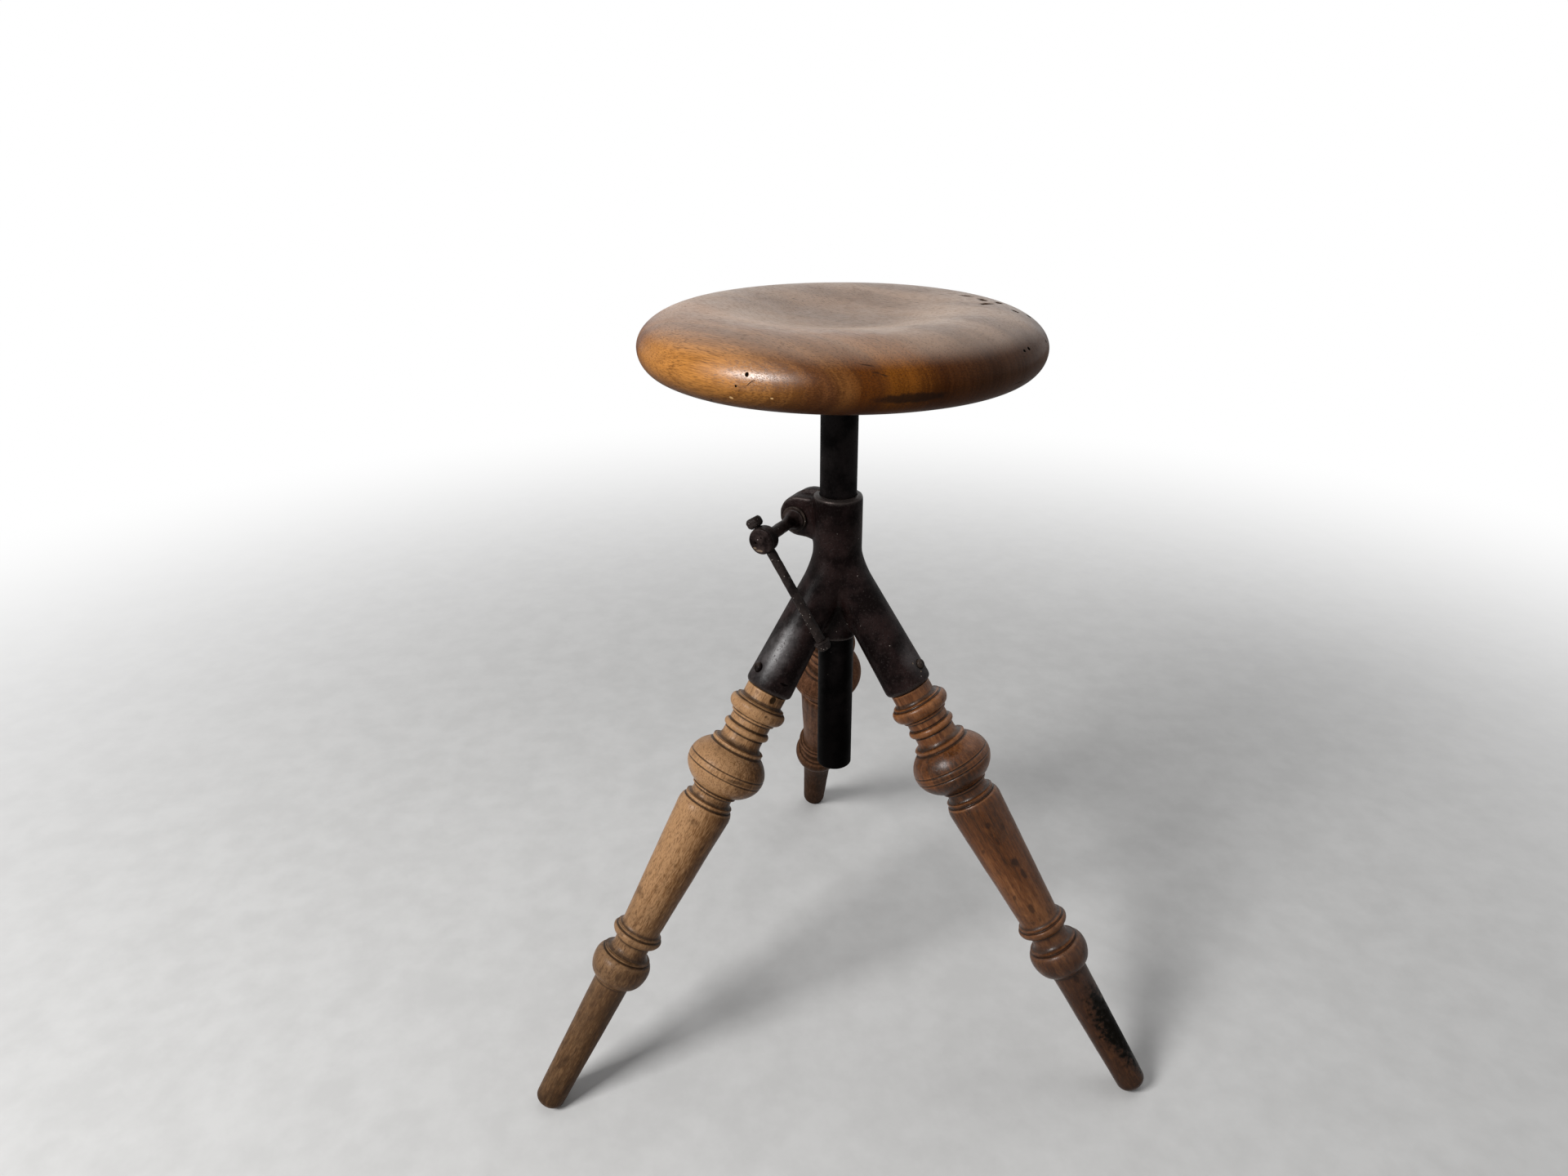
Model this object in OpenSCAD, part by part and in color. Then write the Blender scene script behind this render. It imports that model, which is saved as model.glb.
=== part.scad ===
// Tripod workshop stool: a dished wooden seat on an iron post, which slides in a
// split clamp collar above three leg sockets. The post stands on the Z axis, the
// floor is at zero height, and one leg points along +Y, away from the front.

/* [Seat] */
// Height of the seat's crown above the floor, with the post as it stands
seat_h = 695.5; // [670:0.5:800]
// Diameter of the seat
seat_d = 330; // [280:1:380]
// Thickness from the underside to the crown
seat_t = 51; // [42:0.5:60]
// Height of the seat's widest line above its underside
seat_edge_h = 22; // [16:0.5:26]
// Width of the long rounding from the crown down to the widest line
seat_top_round = 51; // [35:1:60]
// Width of the short rounding from the widest line to the underside
seat_bottom_round = 24; // [12:1:40]
// Depth of the dish below the crown
dish_depth = 9; // [4:0.5:14]
// Radius of the flat at the bottom of the dish
dish_flat_r = 32; // [20:1:50]

/* [Seat flange] */
// Diameter of the round plate screwed under the seat
flange_d = 104; // [90:1:130]
// Thickness of the plate
flange_t = 6; // [4:0.5:9]
// Length of the boss below the plate
boss_len = 24; // [18:0.5:30]
// Wall of the boss round the post
boss_wall = 7; // [5:0.5:10]
// Rounding of the plate's lower edge
flange_round = 2; // [1:0.25:3]
// Distance of the wood screws from the plate's edge
flange_screw_inset = 12; // [9:0.5:14]
// Diameter of a wood screw's shank
wood_screw_d = 4.5; // [3.5:0.5:6]
// Diameter of a wood screw's countersunk head
wood_screw_head_d = 9; // [8:0.5:11]
// Depth of that head
wood_screw_head_h = 2.6; // [2:0.1:3.5]
// Length of a wood screw
wood_screw_len = 26; // [18:1:32]

/* [Swivel screw] */
// Diameter of the screw that keeps the seat on the post
swivel_screw_d = 6; // [5:0.5:8]
// Diameter of its point, which runs in the post's groove
swivel_point_d = 4; // [3:0.25:4.5]
// Depth of the groove round the post
groove_depth = 2.5; // [1.5:0.25:4]
// Width of the groove
groove_w = 5; // [4.75:0.25:7]
// How far the screw's head end stands out of the boss
swivel_screw_out = 3; // [2:0.5:5]

/* [Post] */
// Diameter of the round iron bar
post_d = 32; // [28:0.5:36]
// Length of the bar
post_len = 373; // [340:1:440]
// Chamfer at both ends of the bar
post_chamfer = 1.5; // [1:0.25:3]

/* [Hub] */
// Length of post seen between the seat's underside and the collar
post_show = 108; // [90:0.5:200]
// Height of the collar's top above the point where the three leg axes meet the post's
collar_rise = 60.7; // [54:0.1:70]
// Angle between a leg and the post
leg_tilt = 33.7; // [28:0.1:38]
// Wall of the collar round the post
collar_wall = 5.5; // [4.5:0.25:8]
// Rounding of the collar's top edge
collar_round = 2; // [1:0.25:3]
// Radius of the bend from the collar into each socket
bend_r = 90; // [60:1:110]
// How much smaller the bends' radius is than the collar's
bend_step = 2.15; // [0.5:0.05:2.6]
// How far a socket's thicker wall laps over the bend
socket_lap = 4; // [2:0.5:6]
// How much thicker a socket is there than the bend
socket_step = 0.3; // [0.2:0.1:0.6]
// Distance from the apex to a socket's mouth
socket_len = 132; // [120:1:145]
// Wall of a socket at its mouth
mouth_wall = 5; // [4:0.1:7]
// Rounding of the mouth's outer edge
mouth_round = 3; // [1.5:0.5:4]
// Distance from the apex down to the hub's lower end, where the post comes out
hub_drop = 73.8; // [62:0.1:86]
// Wall of the lower end round the post
hub_bottom_wall = 2.2; // [2:0.2:4]
// How far the web that fills the corners between the sockets stands out from the collar
web_out = 1.85; // [1.2:0.05:3]
// Iron left between the post and the top of each tenon
tenon_wall = 4.8; // [3:0.1:8]
// Distance from the apex down to the web's widest line
web_drop = 20; // [16:0.5:24]
// Length over which the web narrows to the lower end
web_taper_len = 24; // [16:1:30]
// Angle by which each bend has already turned where it leaves the collar's inside
bend_start = 9; // [7:0.5:11]

/* [Clamp ears] */
// Distance from the collar's outer wall to the screw's axis
ear_reach = 14; // [12:0.5:17]
// Radius of the ears' rounded ends
ear_r = 18.5; // [16:0.5:20]
// How far the rounded ends' middle stands back from the screw's axis
ear_mid_back = 2.7; // [0:0.1:4]
// How far the rounded ends' middle stands above the screw's axis
ear_mid_up = 2; // [0:0.1:4]
// Radius of the rear ear's taller shoulder, level with the collar's top
rear_ear_r = 24; // [20:0.5:25]
// Distance of that shoulder's middle from the collar's wall
rear_ear_reach = 2.5; // [1:0.5:5]
// Thickness of an ear
ear_t = 10.5; // [8:0.5:13]
// Width of the slit between the ears
slit_w = 3; // [2:0.25:4]
// Distance from the collar's top down to the screw's axis
clamp_drop = 25; // [22:0.5:27]
// How far the slit runs on below the ears
slit_below = 16; // [8:1:20]

/* [Clamp screw] */
// Diameter of the screw
clamp_screw_d = 12; // [10:0.5:14]
// Length that stands out behind the rear ear
clamp_tail = 4; // [2:0.5:8]
// Chamfer at that end
tail_chamfer = 1.5; // [1:0.25:2.5]
// Diameter of the washer under the shoulder
washer_d = 23; // [20:0.5:26]
// Thickness of the washer
washer_t = 2.5; // [2:0.25:4]
// Diameter of the shoulder that bears on the washer
shoulder_d = 19.5; // [17:0.5:22]
// Thickness of the shoulder's rim
shoulder_rim = 1.5; // [1:0.25:3]
// Length over which the shoulder runs down to the neck
shoulder_len = 16; // [10:0.5:20]
// Diameter of the neck between the shoulder and the eye
neck_d = 11; // [9:0.5:13]
// Diameter of the eye, the drum that the bar goes through
eye_d = 23; // [21:0.5:26]
// Length of the drum
eye_len = 13; // [12.5:0.5:18]
// Rounding of the drum's edges
eye_round = 2.5; // [1:0.25:3]
// Distance from the front ear's face to the bar's axis
eye_out = 56; // [50:0.5:64]

/* [Bar] */
// Diameter of the loose bar
bar_d = 8.5; // [7:0.25:9.5]
// Angle of the bar below the horizontal
bar_tilt = 56.7; // [45:0.1:65]
// Distance between the two knobs' inner faces
bar_clear_len = 110; // [95:0.5:112]
// Width of the faceted upper knob across its corners
upper_knob_d = 15; // [13:0.5:17]
// Length of the upper knob
upper_knob_len = 9; // [8:0.5:12]
// Diameter of the round lower knob
lower_knob_d = 14.5; // [12:0.5:16]
// Length of the lower knob
lower_knob_len = 8.5; // [7:0.5:11]
// Thickness of the lower knob's rim
lower_knob_rim = 2; // [1.5:0.25:3]
// Diameter of the bar's reduced ends, inside the knobs
spigot_d = 5; // [4:0.25:6]
// Thickness of a knob's end beyond the bar's reduced end
knob_end_wall = 2.1; // [1.5:0.1:3]

/* [Leg] */
// Diameter of the tenon inside the socket
tenon_d = 33.8; // [32:0.1:34.5]
// Chamfer at the tenon's top
tenon_chamfer = 2; // [1:0.25:3]
// Radius of the plain necks
neck_r = 18.9; // [18:0.1:20]
// Radius of the upper bead
upper_bead_r = 26.5; // [24:0.1:29]
// Radius of the small bead
small_bead_r = 21.8; // [20.5:0.1:23]
// Radius of the large ball
ball_r = 36.6; // [33:0.1:40]
// Radius of the column below the ball at its thick end
column_top_r = 25.4; // [23:0.1:28]
// Radius of the column at its thin end
column_foot_r = 18.6; // [17.5:0.1:21]
// The column's share of the leg's plain length; the shaft at the foot has the rest
column_share = 0.475; // [0.35:0.005:0.6]
// Radius of the lower bead
lower_bead_r = 24; // [21:0.1:26]
// Radius of the lower ball
lower_ball_r = 26.4; // [24:0.1:29]
// Radius of the plain shaft below the lower ball
shaft_top_r = 16.8; // [15:0.1:18]
// Radius of the shaft at the foot
shaft_foot_r = 13.4; // [11.5:0.1:15]
// Rounding of the foot
foot_round = 8; // [4:0.5:10]
// How much of the rounded foot is worn flat
foot_wear = 0.6; // [0.2:0.1:1.5]
// Depth of a turned groove
turned_groove = 0.8; // [0.4:0.1:1.2]

/* [Upper leg turning] */
// Length of the plain neck under the socket
neck_len = 9.2; // [7:0.1:12]
// Length of the hollow above the upper bead
upper_cove_len = 4.2; // [3:0.1:6]
// Length of the upper bead
upper_bead_len = 13.1; // [10:0.1:16]
// Length of the ring under the upper bead
first_ring_len = 2.4; // [1.5:0.1:4]
// Length of the neck above the small bead
small_neck_len = 7.7; // [5:0.1:10]
// Length of the small bead
small_bead_len = 7.2; // [5:0.1:9]
// Length of the neck below the small bead
flare_neck_len = 5.2; // [4:0.1:7]
// Length of the hollow that flares out to the ring above the ball
flare_len = 6.4; // [4:0.1:9]
// Length of the ring above the ball
second_ring_len = 3; // [2:0.1:4.5]
// Length of the step between that ring and the ball
ball_step_len = 0.8; // [0.5:0.1:1.5]
// Length of the ball above its widest line
ball_upper_len = 20; // [17:0.1:23]
// Length of the ball below its widest line
ball_lower_len = 22.2; // [19:0.1:25]
// How much of the whole ball's lower end is hidden in the ring below it
ball_hidden_len = 4.6; // [3:0.1:7]
// Half the width of the band between the ball's two grooves
ball_line = 3.3; // [2:0.1:5]
// Length of the ring under the ball
third_ring_len = 1.8; // [1:0.1:3]
// Length of the hollow from that ring to the waist
waist_upper_len = 4.2; // [3:0.1:6]
// Length of the hollow from the waist to the ring above the column
waist_lower_len = 4.6; // [3:0.1:6]
// Length of the ring above the column
fourth_ring_len = 3; // [2:0.1:4.5]
// Length of the step between that ring and the column's shoulder
shoulder_step_len = 0.8; // [0.5:0.1:1.5]
// Length of the column's rounded shoulder
column_shoulder_len = 8.2; // [6:0.1:10]

/* [Lower leg turning] */
// Length of the hollow under the column
lower_cove_len = 5; // [3:0.1:7]
// Length of the ring above the lower bead
lower_ring_len = 1.4; // [1:0.1:2.5]
// Length of the lower bead
lower_bead_len = 9.6; // [7:0.1:12]
// Length of the fall from the lower bead to its neck
lower_fall_len = 3.5; // [2.5:0.1:5]
// Length of the neck between the lower bead and the lower ball
lower_neck_len = 3; // [2:0.1:5]
// Length of the hollow that flares out to the lower ball's ring
lower_flare_len = 7.1; // [5:0.1:9]
// Length of the ring above the lower ball
lower_ball_ring_len = 2.2; // [1.8:0.1:3.5]
// Length of the lower ball
lower_ball_len = 25.8; // [22:0.1:30]
// Length of the ring under the lower ball
foot_ring_len = 2.4; // [1.5:0.1:4]

/* [Leg screw] */
// Distance of the screw from the socket's mouth
leg_screw_back = 16; // [12:0.5:24]
// Diameter of the screw's shank
leg_screw_d = 5; // [4:0.25:6]
// Length of the shank below the head
leg_screw_len = 18; // [14:0.5:22]
// Diameter of the round head
leg_screw_head_d = 9; // [8:0.5:11]
// Height of the round head
leg_screw_head_h = 3.6; // [3:0.1:5]
// Height of the head's upright rim
leg_screw_rim = 1.2; // [0.8:0.1:2]
// Radius of the flat on top of the head
leg_screw_flat_r = 1.25; // [0.8:0.05:2]
// Depth of the flat sunk into the socket under the head
spot_depth = 1.2; // [0.8:0.1:2]
// Width of every screw's slot
slot_w = 1.2; // [0.8:0.1:1.6]

/* [Clearances] */
// Radial play of a turning or sliding fit
run_play = 0.05; // [0.02:0.01:0.09]
// Gap between flat faces that meet
face_gap = 0.2; // [0.1:0.05:0.3]
// Radial gap round a screw, tenon or spigot that stays in place
hold_gap = 0.1; // [0.05:0.01:0.2]
// Gap round the swivel screw's point in its groove
point_gap = 0.4; // [0.3:0.05:0.5]

/* [Hidden] */
$fn = 96;

// Directions seen from above, in degrees from +X
back_az = 90;
left_az = 210;
right_az = 330;
ears_az = 150;
swivel_screw_az = 90;
flange_screw_az = [45, 135, 225, 315];

// One overrun serves every cut
over = 2;

seat_r = seat_d / 2;
seat_bottom_h = seat_h - seat_t;
crown_r = seat_r - seat_top_round;
dish_h = seat_h - dish_depth;

post_r = post_d / 2;
post_top_h = seat_bottom_h - flange_t - face_gap;
post_end_h = post_top_h - post_len;

boss_r = post_r + run_play + boss_wall;
boss_end_h = seat_bottom_h - flange_t - boss_len;
swivel_h = boss_end_h + boss_len / 2;

collar_r = post_r + run_play + collar_wall;
collar_top_h = seat_bottom_h - post_show;
apex_h = collar_top_h - collar_rise;
hub_bottom_h = apex_h - hub_drop;
web_h = apex_h - web_drop;
web_r = collar_r + web_out;
bend_tube_r = collar_r - bend_step;
bend_run = bend_r * tan(leg_tilt / 2);
hub_bottom_r = post_r + run_play + hub_bottom_wall;
tenon_r = tenon_d / 2;
bore_r = tenon_r + hold_gap;
mouth_r = bore_r + mouth_wall;

// The tenon's upper rim is the part of it that comes closest to the post
tenon_top = (post_r + run_play + tenon_wall + bore_r * cos(leg_tilt)) / sin(leg_tilt);
tenon_len = socket_len - tenon_top;

clamp_x = collar_r + ear_reach;
clamp_h = collar_top_h - clamp_drop;
ear_face = slit_w / 2 + ear_t;
ear_mid_x = clamp_x - ear_mid_back;
ear_mid_h = clamp_h + ear_mid_up;
rear_ear_x = collar_r + rear_ear_reach;
slit_end_h = ear_mid_h - ear_r - slit_below;

eye_y = ear_face + eye_out;
bar_r = bar_d / 2;
knob_rest = eye_d / 2 + face_gap;

// Points of the turned outlines, each as [radius, distance along the axis]

// A rounded bead between two points, with its rise above the line that joins them
function bead(a, b, rise, n = 10) = [for (i = [0 : n])
    let (u = (1 - cos(180 * i / n)) / 2)
    [a[0] + (b[0] - a[0]) * u + rise * sin(180 * i / n), a[1] + (b[1] - a[1]) * u]];

// A hollow that leaves the first point along the axis and meets the second one square
function cove(a, b, n = 6) = [for (i = [0 : n])
    [a[0] + (b[0] - a[0]) * (1 - cos(90 * i / n)), a[1] + (b[1] - a[1]) * sin(90 * i / n)]];

// A rounding that leaves the first point square and meets the second one along the axis
function ease(a, b, n = 6) = [for (i = [0 : n])
    [a[0] + (b[0] - a[0]) * sin(90 * i / n), a[1] + (b[1] - a[1]) * (1 - cos(90 * i / n))]];

// Part of an ellipse about a place on the axis, from one distance to another
function swell(centre, half_len, radius, from, to, n = 12) = [for (i = [0 : n])
    let (t = from + (to - from) * i / n)
    [radius * sqrt(1 - pow((t - centre) / half_len, 2)), t]];

module turned(points) {
    rotate_extrude() polygon(points);
}

// Seat

// The dish falls from the crown to its flat along a smooth S
function dish_points(n = 16) = [for (i = [0 : n])
    let (u = i / n)
    [dish_flat_r + (crown_r - dish_flat_r) * u, dish_h + dish_depth * (1 - cos(180 * u)) / 2]];

function seat_outline() = concat(
    [[0, seat_bottom_h]],
    ease([seat_r - seat_bottom_round, seat_bottom_h], [seat_r, seat_bottom_h + seat_edge_h], 10),
    [for (p = cove([seat_r, seat_bottom_h + seat_edge_h], [crown_r, seat_h], 16)) p],
    [for (i = [15 : -1 : 0]) dish_points()[i]],
    [[0, dish_h]]);

module seat() {
    color([0.50, 0.30, 0.15]) difference() {
        turned(seat_outline());
        for (az = flange_screw_az) at_flange_screw(az)
            cylinder(r = wood_screw_d / 2 + hold_gap, h = wood_screw_len - flange_t + over);
    }
}

// Seat flange and its screws

module at_flange_screw(az) {
    rotate([0, 0, az]) translate([flange_d / 2 - flange_screw_inset, 0, seat_bottom_h]) children();
}

module seat_flange() {
    color([0.12, 0.11, 0.11]) difference() {
        union() {
            turned(concat(
                [[0, seat_bottom_h], [flange_d / 2, seat_bottom_h]],
                cove([flange_d / 2, seat_bottom_h - flange_t + flange_round],
                    [flange_d / 2 - flange_round, seat_bottom_h - flange_t]),
                [[0, seat_bottom_h - flange_t]]));
            translate([0, 0, boss_end_h])
                cylinder(r = boss_r, h = boss_len + flange_t / 2);
        }
        translate([0, 0, boss_end_h - over])
            cylinder(r = post_r + run_play, h = boss_len + over);
        for (az = flange_screw_az) at_flange_screw(az) {
            translate([0, 0, -flange_t - over])
                cylinder(r = wood_screw_d / 2 + hold_gap, h = flange_t + 2 * over);
            translate([0, 0, -flange_t])
                cylinder(r1 = wood_screw_head_d / 2 + hold_gap, r2 = wood_screw_d / 2 + hold_gap,
                    h = wood_screw_head_h);
        }
        at_swivel_screw() rotate([0, 90, 0])
            cylinder(r = swivel_screw_d / 2 + hold_gap, h = boss_r + over);
    }
}

// The shank is plain here, with a cone for its point
module flange_screw(i) {
    color([0.30, 0.28, 0.26]) at_flange_screw(flange_screw_az[i]) {
        difference() {
            turned([
                [0, -flange_t], [wood_screw_head_d / 2, -flange_t],
                [wood_screw_d / 2, wood_screw_head_h - flange_t],
                [wood_screw_d / 2, wood_screw_len - flange_t - wood_screw_d],
                [0, wood_screw_len - flange_t]]);
            translate([0, 0, -flange_t])
                cube([wood_screw_head_d + over, slot_w, wood_screw_head_h], center = true);
        }
    }
}

module at_swivel_screw() {
    rotate([0, 0, swivel_screw_az]) translate([0, 0, swivel_h]) children();
}

// A threaded length in the boss and a plain point in the post's groove
module swivel_screw() {
    point_in = post_r - groove_depth + point_gap;
    body_in = post_r + run_play + face_gap;
    head_out = boss_r + swivel_screw_out;
    color([0.30, 0.28, 0.26]) at_swivel_screw() difference() {
        union() {
            translate([point_in, 0, 0]) rotate([0, 90, 0])
                cylinder(r = swivel_point_d / 2, h = body_in - point_in + swivel_point_d / 2);
            translate([body_in, 0, 0]) rotate([0, 90, 0])
                cylinder(r = swivel_screw_d / 2, h = head_out - body_in);
        }
        translate([head_out, 0, 0])
            cube([swivel_screw_out, swivel_screw_d + over, slot_w], center = true);
    }
}

// Post

module post() {
    groove_r = post_r - groove_depth;
    color([0.13, 0.12, 0.12]) turned([
        [0, post_end_h], [post_r - post_chamfer, post_end_h],
        [post_r, post_end_h + post_chamfer],
        [post_r, swivel_h - groove_w / 2], [groove_r, swivel_h - groove_w / 2],
        [groove_r, swivel_h + groove_w / 2], [post_r, swivel_h + groove_w / 2],
        [post_r, post_top_h - post_chamfer], [post_r - post_chamfer, post_top_h],
        [0, post_top_h]]);
}

// Hub

// Places children in a leg's own frame: its axis runs down from the apex, +X faces up and out
module on_leg(az) {
    translate([0, 0, apex_h]) rotate([0, -leg_tilt, az]) children();
}

// Places children at the clamp: X runs out along the ears, Y along the screw to its eye
module on_clamp() {
    translate([0, 0, clamp_h]) rotate([0, 0, ears_az]) children();
}

// The bend from the collar's axis into a leg's axis
module bend(az) {
    rotate([0, 0, az]) translate([bend_r, 0, apex_h + bend_run]) rotate([-90, 0, 180])
        rotate([0, 0, bend_start]) rotate_extrude(angle = leg_tilt - bend_start)
            translate([bend_r, 0]) circle(r = bend_tube_r);
}

module socket_body(az) {
    on_leg(az) turned(concat(
        [[0, socket_lap - bend_run], [bend_tube_r + socket_step, socket_lap - bend_run]],
        cove([mouth_r, mouth_round - socket_len], [mouth_r - mouth_round, -socket_len]),
        [[0, -socket_len]]));
}

// Both ears in one piece, which the slit then parts
module ear_plate() {
    width = 2 * ear_face;
    translate([0, 0, ear_mid_h]) rotate([0, 0, ears_az]) {
        translate([ear_mid_x, 0, 0]) rotate([90, 0, 0])
            cylinder(r = ear_r, h = width, center = true);
        translate([ear_mid_x / 2, 0, 0]) cube([ear_mid_x, width, 2 * ear_r], center = true);
    }
    translate([0, 0, collar_top_h - rear_ear_r]) rotate([0, 0, ears_az])
        translate([rear_ear_x, 0, 0]) rotate([90, 0, 0])
            cylinder(r = rear_ear_r, h = ear_face);
}

module hub($fn = 64) {
    color([0.14, 0.12, 0.11]) difference() {
        union() {
            turned(concat(
                [[0, hub_bottom_h], [hub_bottom_r, hub_bottom_h]],
                [[hub_bottom_r, web_h - web_taper_len], [web_r, web_h], [collar_r, apex_h]],
                cove([collar_r, collar_top_h - collar_round], [collar_r - collar_round, collar_top_h]),
                [[0, collar_top_h]]));
            for (az = [back_az, left_az, right_az]) {
                bend(az);
                socket_body(az);
            }
            ear_plate();
        }
        translate([0, 0, hub_bottom_h - over])
            cylinder(r = post_r + run_play, h = collar_top_h - hub_bottom_h + 2 * over);
        for (az = [back_az, left_az, right_az]) on_leg(az) {
            translate([0, 0, -socket_len - over])
                cylinder(r = bore_r, h = tenon_len + face_gap + over);
            translate([tenon_r - over, 0, leg_screw_back - socket_len]) rotate([0, 90, 0])
                cylinder(r = leg_screw_d / 2 + hold_gap, h = mouth_r);
            translate([mouth_r - spot_depth, 0, leg_screw_back - socket_len]) rotate([0, 90, 0])
                cylinder(r = leg_screw_head_d / 2 + face_gap, h = mouth_r);
        }
        on_clamp() {
            translate([0, -slit_w / 2, slit_end_h - clamp_h])
                cube([clamp_x + ear_r + over, slit_w, collar_top_h - slit_end_h + over]);
            translate([clamp_x, 0, 0]) rotate([90, 0, 0])
                cylinder(r = clamp_screw_d / 2 + run_play, h = 2 * (ear_face + over), center = true);
        }
    }
}

// Clamp screw, washer and bar

// Turns a Z-axis shape to lie along the clamp screw, with +Z towards the eye
module along_clamp() {
    on_clamp() translate([clamp_x, 0, 0]) rotate([-90, 0, 0]) children();
}

module clamp_washer() {
    color([0.20, 0.18, 0.17]) along_clamp() translate([0, 0, ear_face + face_gap]) difference() {
        cylinder(d = washer_d, h = washer_t);
        translate([0, 0, -over])
            cylinder(r = clamp_screw_d / 2 + face_gap, h = washer_t + 2 * over);
    }
}

module clamp_screw() {
    shoulder_y = ear_face + washer_t + 2 * face_gap;
    eye_back = eye_y - eye_len / 2;
    eye_front = eye_y + eye_len / 2;
    screw_r = clamp_screw_d / 2;
    tail_end = -ear_face - clamp_tail;
    color([0.16, 0.14, 0.13]) difference() {
        along_clamp() turned(concat(
            [[0, tail_end], [screw_r - tail_chamfer, tail_end], [screw_r, tail_end + tail_chamfer],
                [screw_r, shoulder_y], [shoulder_d / 2, shoulder_y]],
            ease([shoulder_d / 2, shoulder_y + shoulder_rim],
                [neck_d / 2, shoulder_y + shoulder_len], 10),
            [[neck_d / 2, eye_back]],
            ease([eye_d / 2 - eye_round, eye_back], [eye_d / 2, eye_back + eye_round]),
            cove([eye_d / 2, eye_front - eye_round], [eye_d / 2 - eye_round, eye_front]),
            [[0, eye_front]]));
        at_bar() cylinder(r = bar_r + run_play, h = 2 * eye_d, center = true);
    }
}

// Places a Z-axis shape on the bar, with its origin in the eye and +Z up towards the upper knob
module at_bar() {
    on_clamp() translate([clamp_x, eye_y, 0]) rotate([0, 90 - bar_tilt, 0]) children();
}

module tommy_bar() {
    upper_spigot = upper_knob_len - knob_end_wall;
    lower_spigot = lower_knob_len - knob_end_wall;
    color([0.17, 0.15, 0.14]) at_bar() {
        translate([0, 0, knob_rest - bar_clear_len]) cylinder(r = bar_r, h = bar_clear_len);
        translate([0, 0, knob_rest - bar_r])
            cylinder(r = spigot_d / 2, h = upper_spigot + bar_r);
        translate([0, 0, knob_rest - bar_clear_len - lower_spigot])
            cylinder(r = spigot_d / 2, h = lower_spigot + bar_r);
    }
}

// Shares of a knob's radius, and of the upper knob's length, that its ends are narrowed by
knob_narrow_share = 0.72;
knob_taper_share = 0.24;
knob_back_share = 0.9;
knob_end_share = 0.4;

// Eight hammered flats, narrowed at both ends
module bar_knob_upper() {
    narrow = upper_knob_d / 2 * knob_narrow_share;
    taper = upper_knob_len * knob_taper_share;
    color([0.17, 0.15, 0.14]) at_bar() translate([0, 0, knob_rest]) difference() {
        union() {
            cylinder(r1 = narrow, r2 = upper_knob_d / 2, h = taper, $fn = 8);
            translate([0, 0, taper])
                cylinder(r = upper_knob_d / 2, h = upper_knob_len - 2 * taper, $fn = 8);
            translate([0, 0, upper_knob_len - taper])
                cylinder(r1 = upper_knob_d / 2, r2 = narrow, h = taper, $fn = 8);
        }
        translate([0, 0, -over])
            cylinder(r = spigot_d / 2 + hold_gap, h = upper_knob_len - knob_end_wall + over + face_gap);
    }
}

module bar_knob_lower() {
    knob_r = lower_knob_d / 2;
    color([0.17, 0.15, 0.14]) at_bar() translate([0, 0, knob_rest - bar_clear_len]) difference() {
        turned(concat(
            [[0, 0], [knob_r, 0], [knob_r, -lower_knob_rim]],
            cove([knob_r * knob_back_share, -lower_knob_rim],
                [knob_r * knob_end_share, -lower_knob_len], 8),
            [[0, -lower_knob_len]]));
        translate([0, 0, knob_end_wall - lower_knob_len - face_gap])
            cylinder(r = spigot_d / 2 + hold_gap, h = lower_knob_len + over);
    }
}

// Legs

// Depths below the socket's mouth at which the upper members end, in their order
neck_end = neck_len;
bead_groove = neck_end + upper_cove_len;
bead_end = bead_groove + upper_bead_len;
first_ring_end = bead_end + first_ring_len;
small_neck_end = first_ring_end + small_neck_len;
small_bead_end = small_neck_end + small_bead_len;
flare_neck_end = small_bead_end + flare_neck_len;
flare_end = flare_neck_end + flare_len;
second_ring_end = flare_end + second_ring_len;
ball_start = second_ring_end + ball_step_len;
ball_centre = ball_start + ball_upper_len;
ball_end = ball_centre + ball_lower_len;
ball_half_len = ball_lower_len + ball_hidden_len;
third_ring_end = ball_end + third_ring_len;
waist = third_ring_end + waist_upper_len;
waist_end = waist + waist_lower_len;
fourth_ring_end = waist_end + fourth_ring_len;
shoulder_start = fourth_ring_end + shoulder_step_len;
shoulder_end = shoulder_start + column_shoulder_len;

// Distances below the column at which the lower members end
lower_ring_end = lower_cove_len + lower_ring_len;
lower_bead_end = lower_ring_end + lower_bead_len;
lower_fall_end = lower_bead_end + lower_fall_len;
lower_neck_end = lower_fall_end + lower_neck_len;
lower_flare_end = lower_neck_end + lower_flare_len;
lower_ball_start = lower_flare_end + lower_ball_ring_len;
lower_ball_end = lower_ball_start + lower_ball_len;
foot_ring_end = lower_ball_end + foot_ring_len;

// Rises of the rings and hollows above the neck, as shares of the small bead's rise
upper_cove_share = 1.4;
bead_foot_share = 0.6;
first_ring_share = 0.7;
flare_share = 1.75;
second_ring_share = 1.95;
ball_step_share = 1.7;
third_ring_share = 0.8;
fourth_ring_share = 1.25;
shoulder_share = 1.3;
lower_flare_share = 1.2;
lower_ball_foot_share = 0.5;

// A turned groove at one place: in, down and out again
function groove(r, at) = [[r, at - turned_groove], [r - turned_groove, at], [r, at + turned_groove]];

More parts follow.
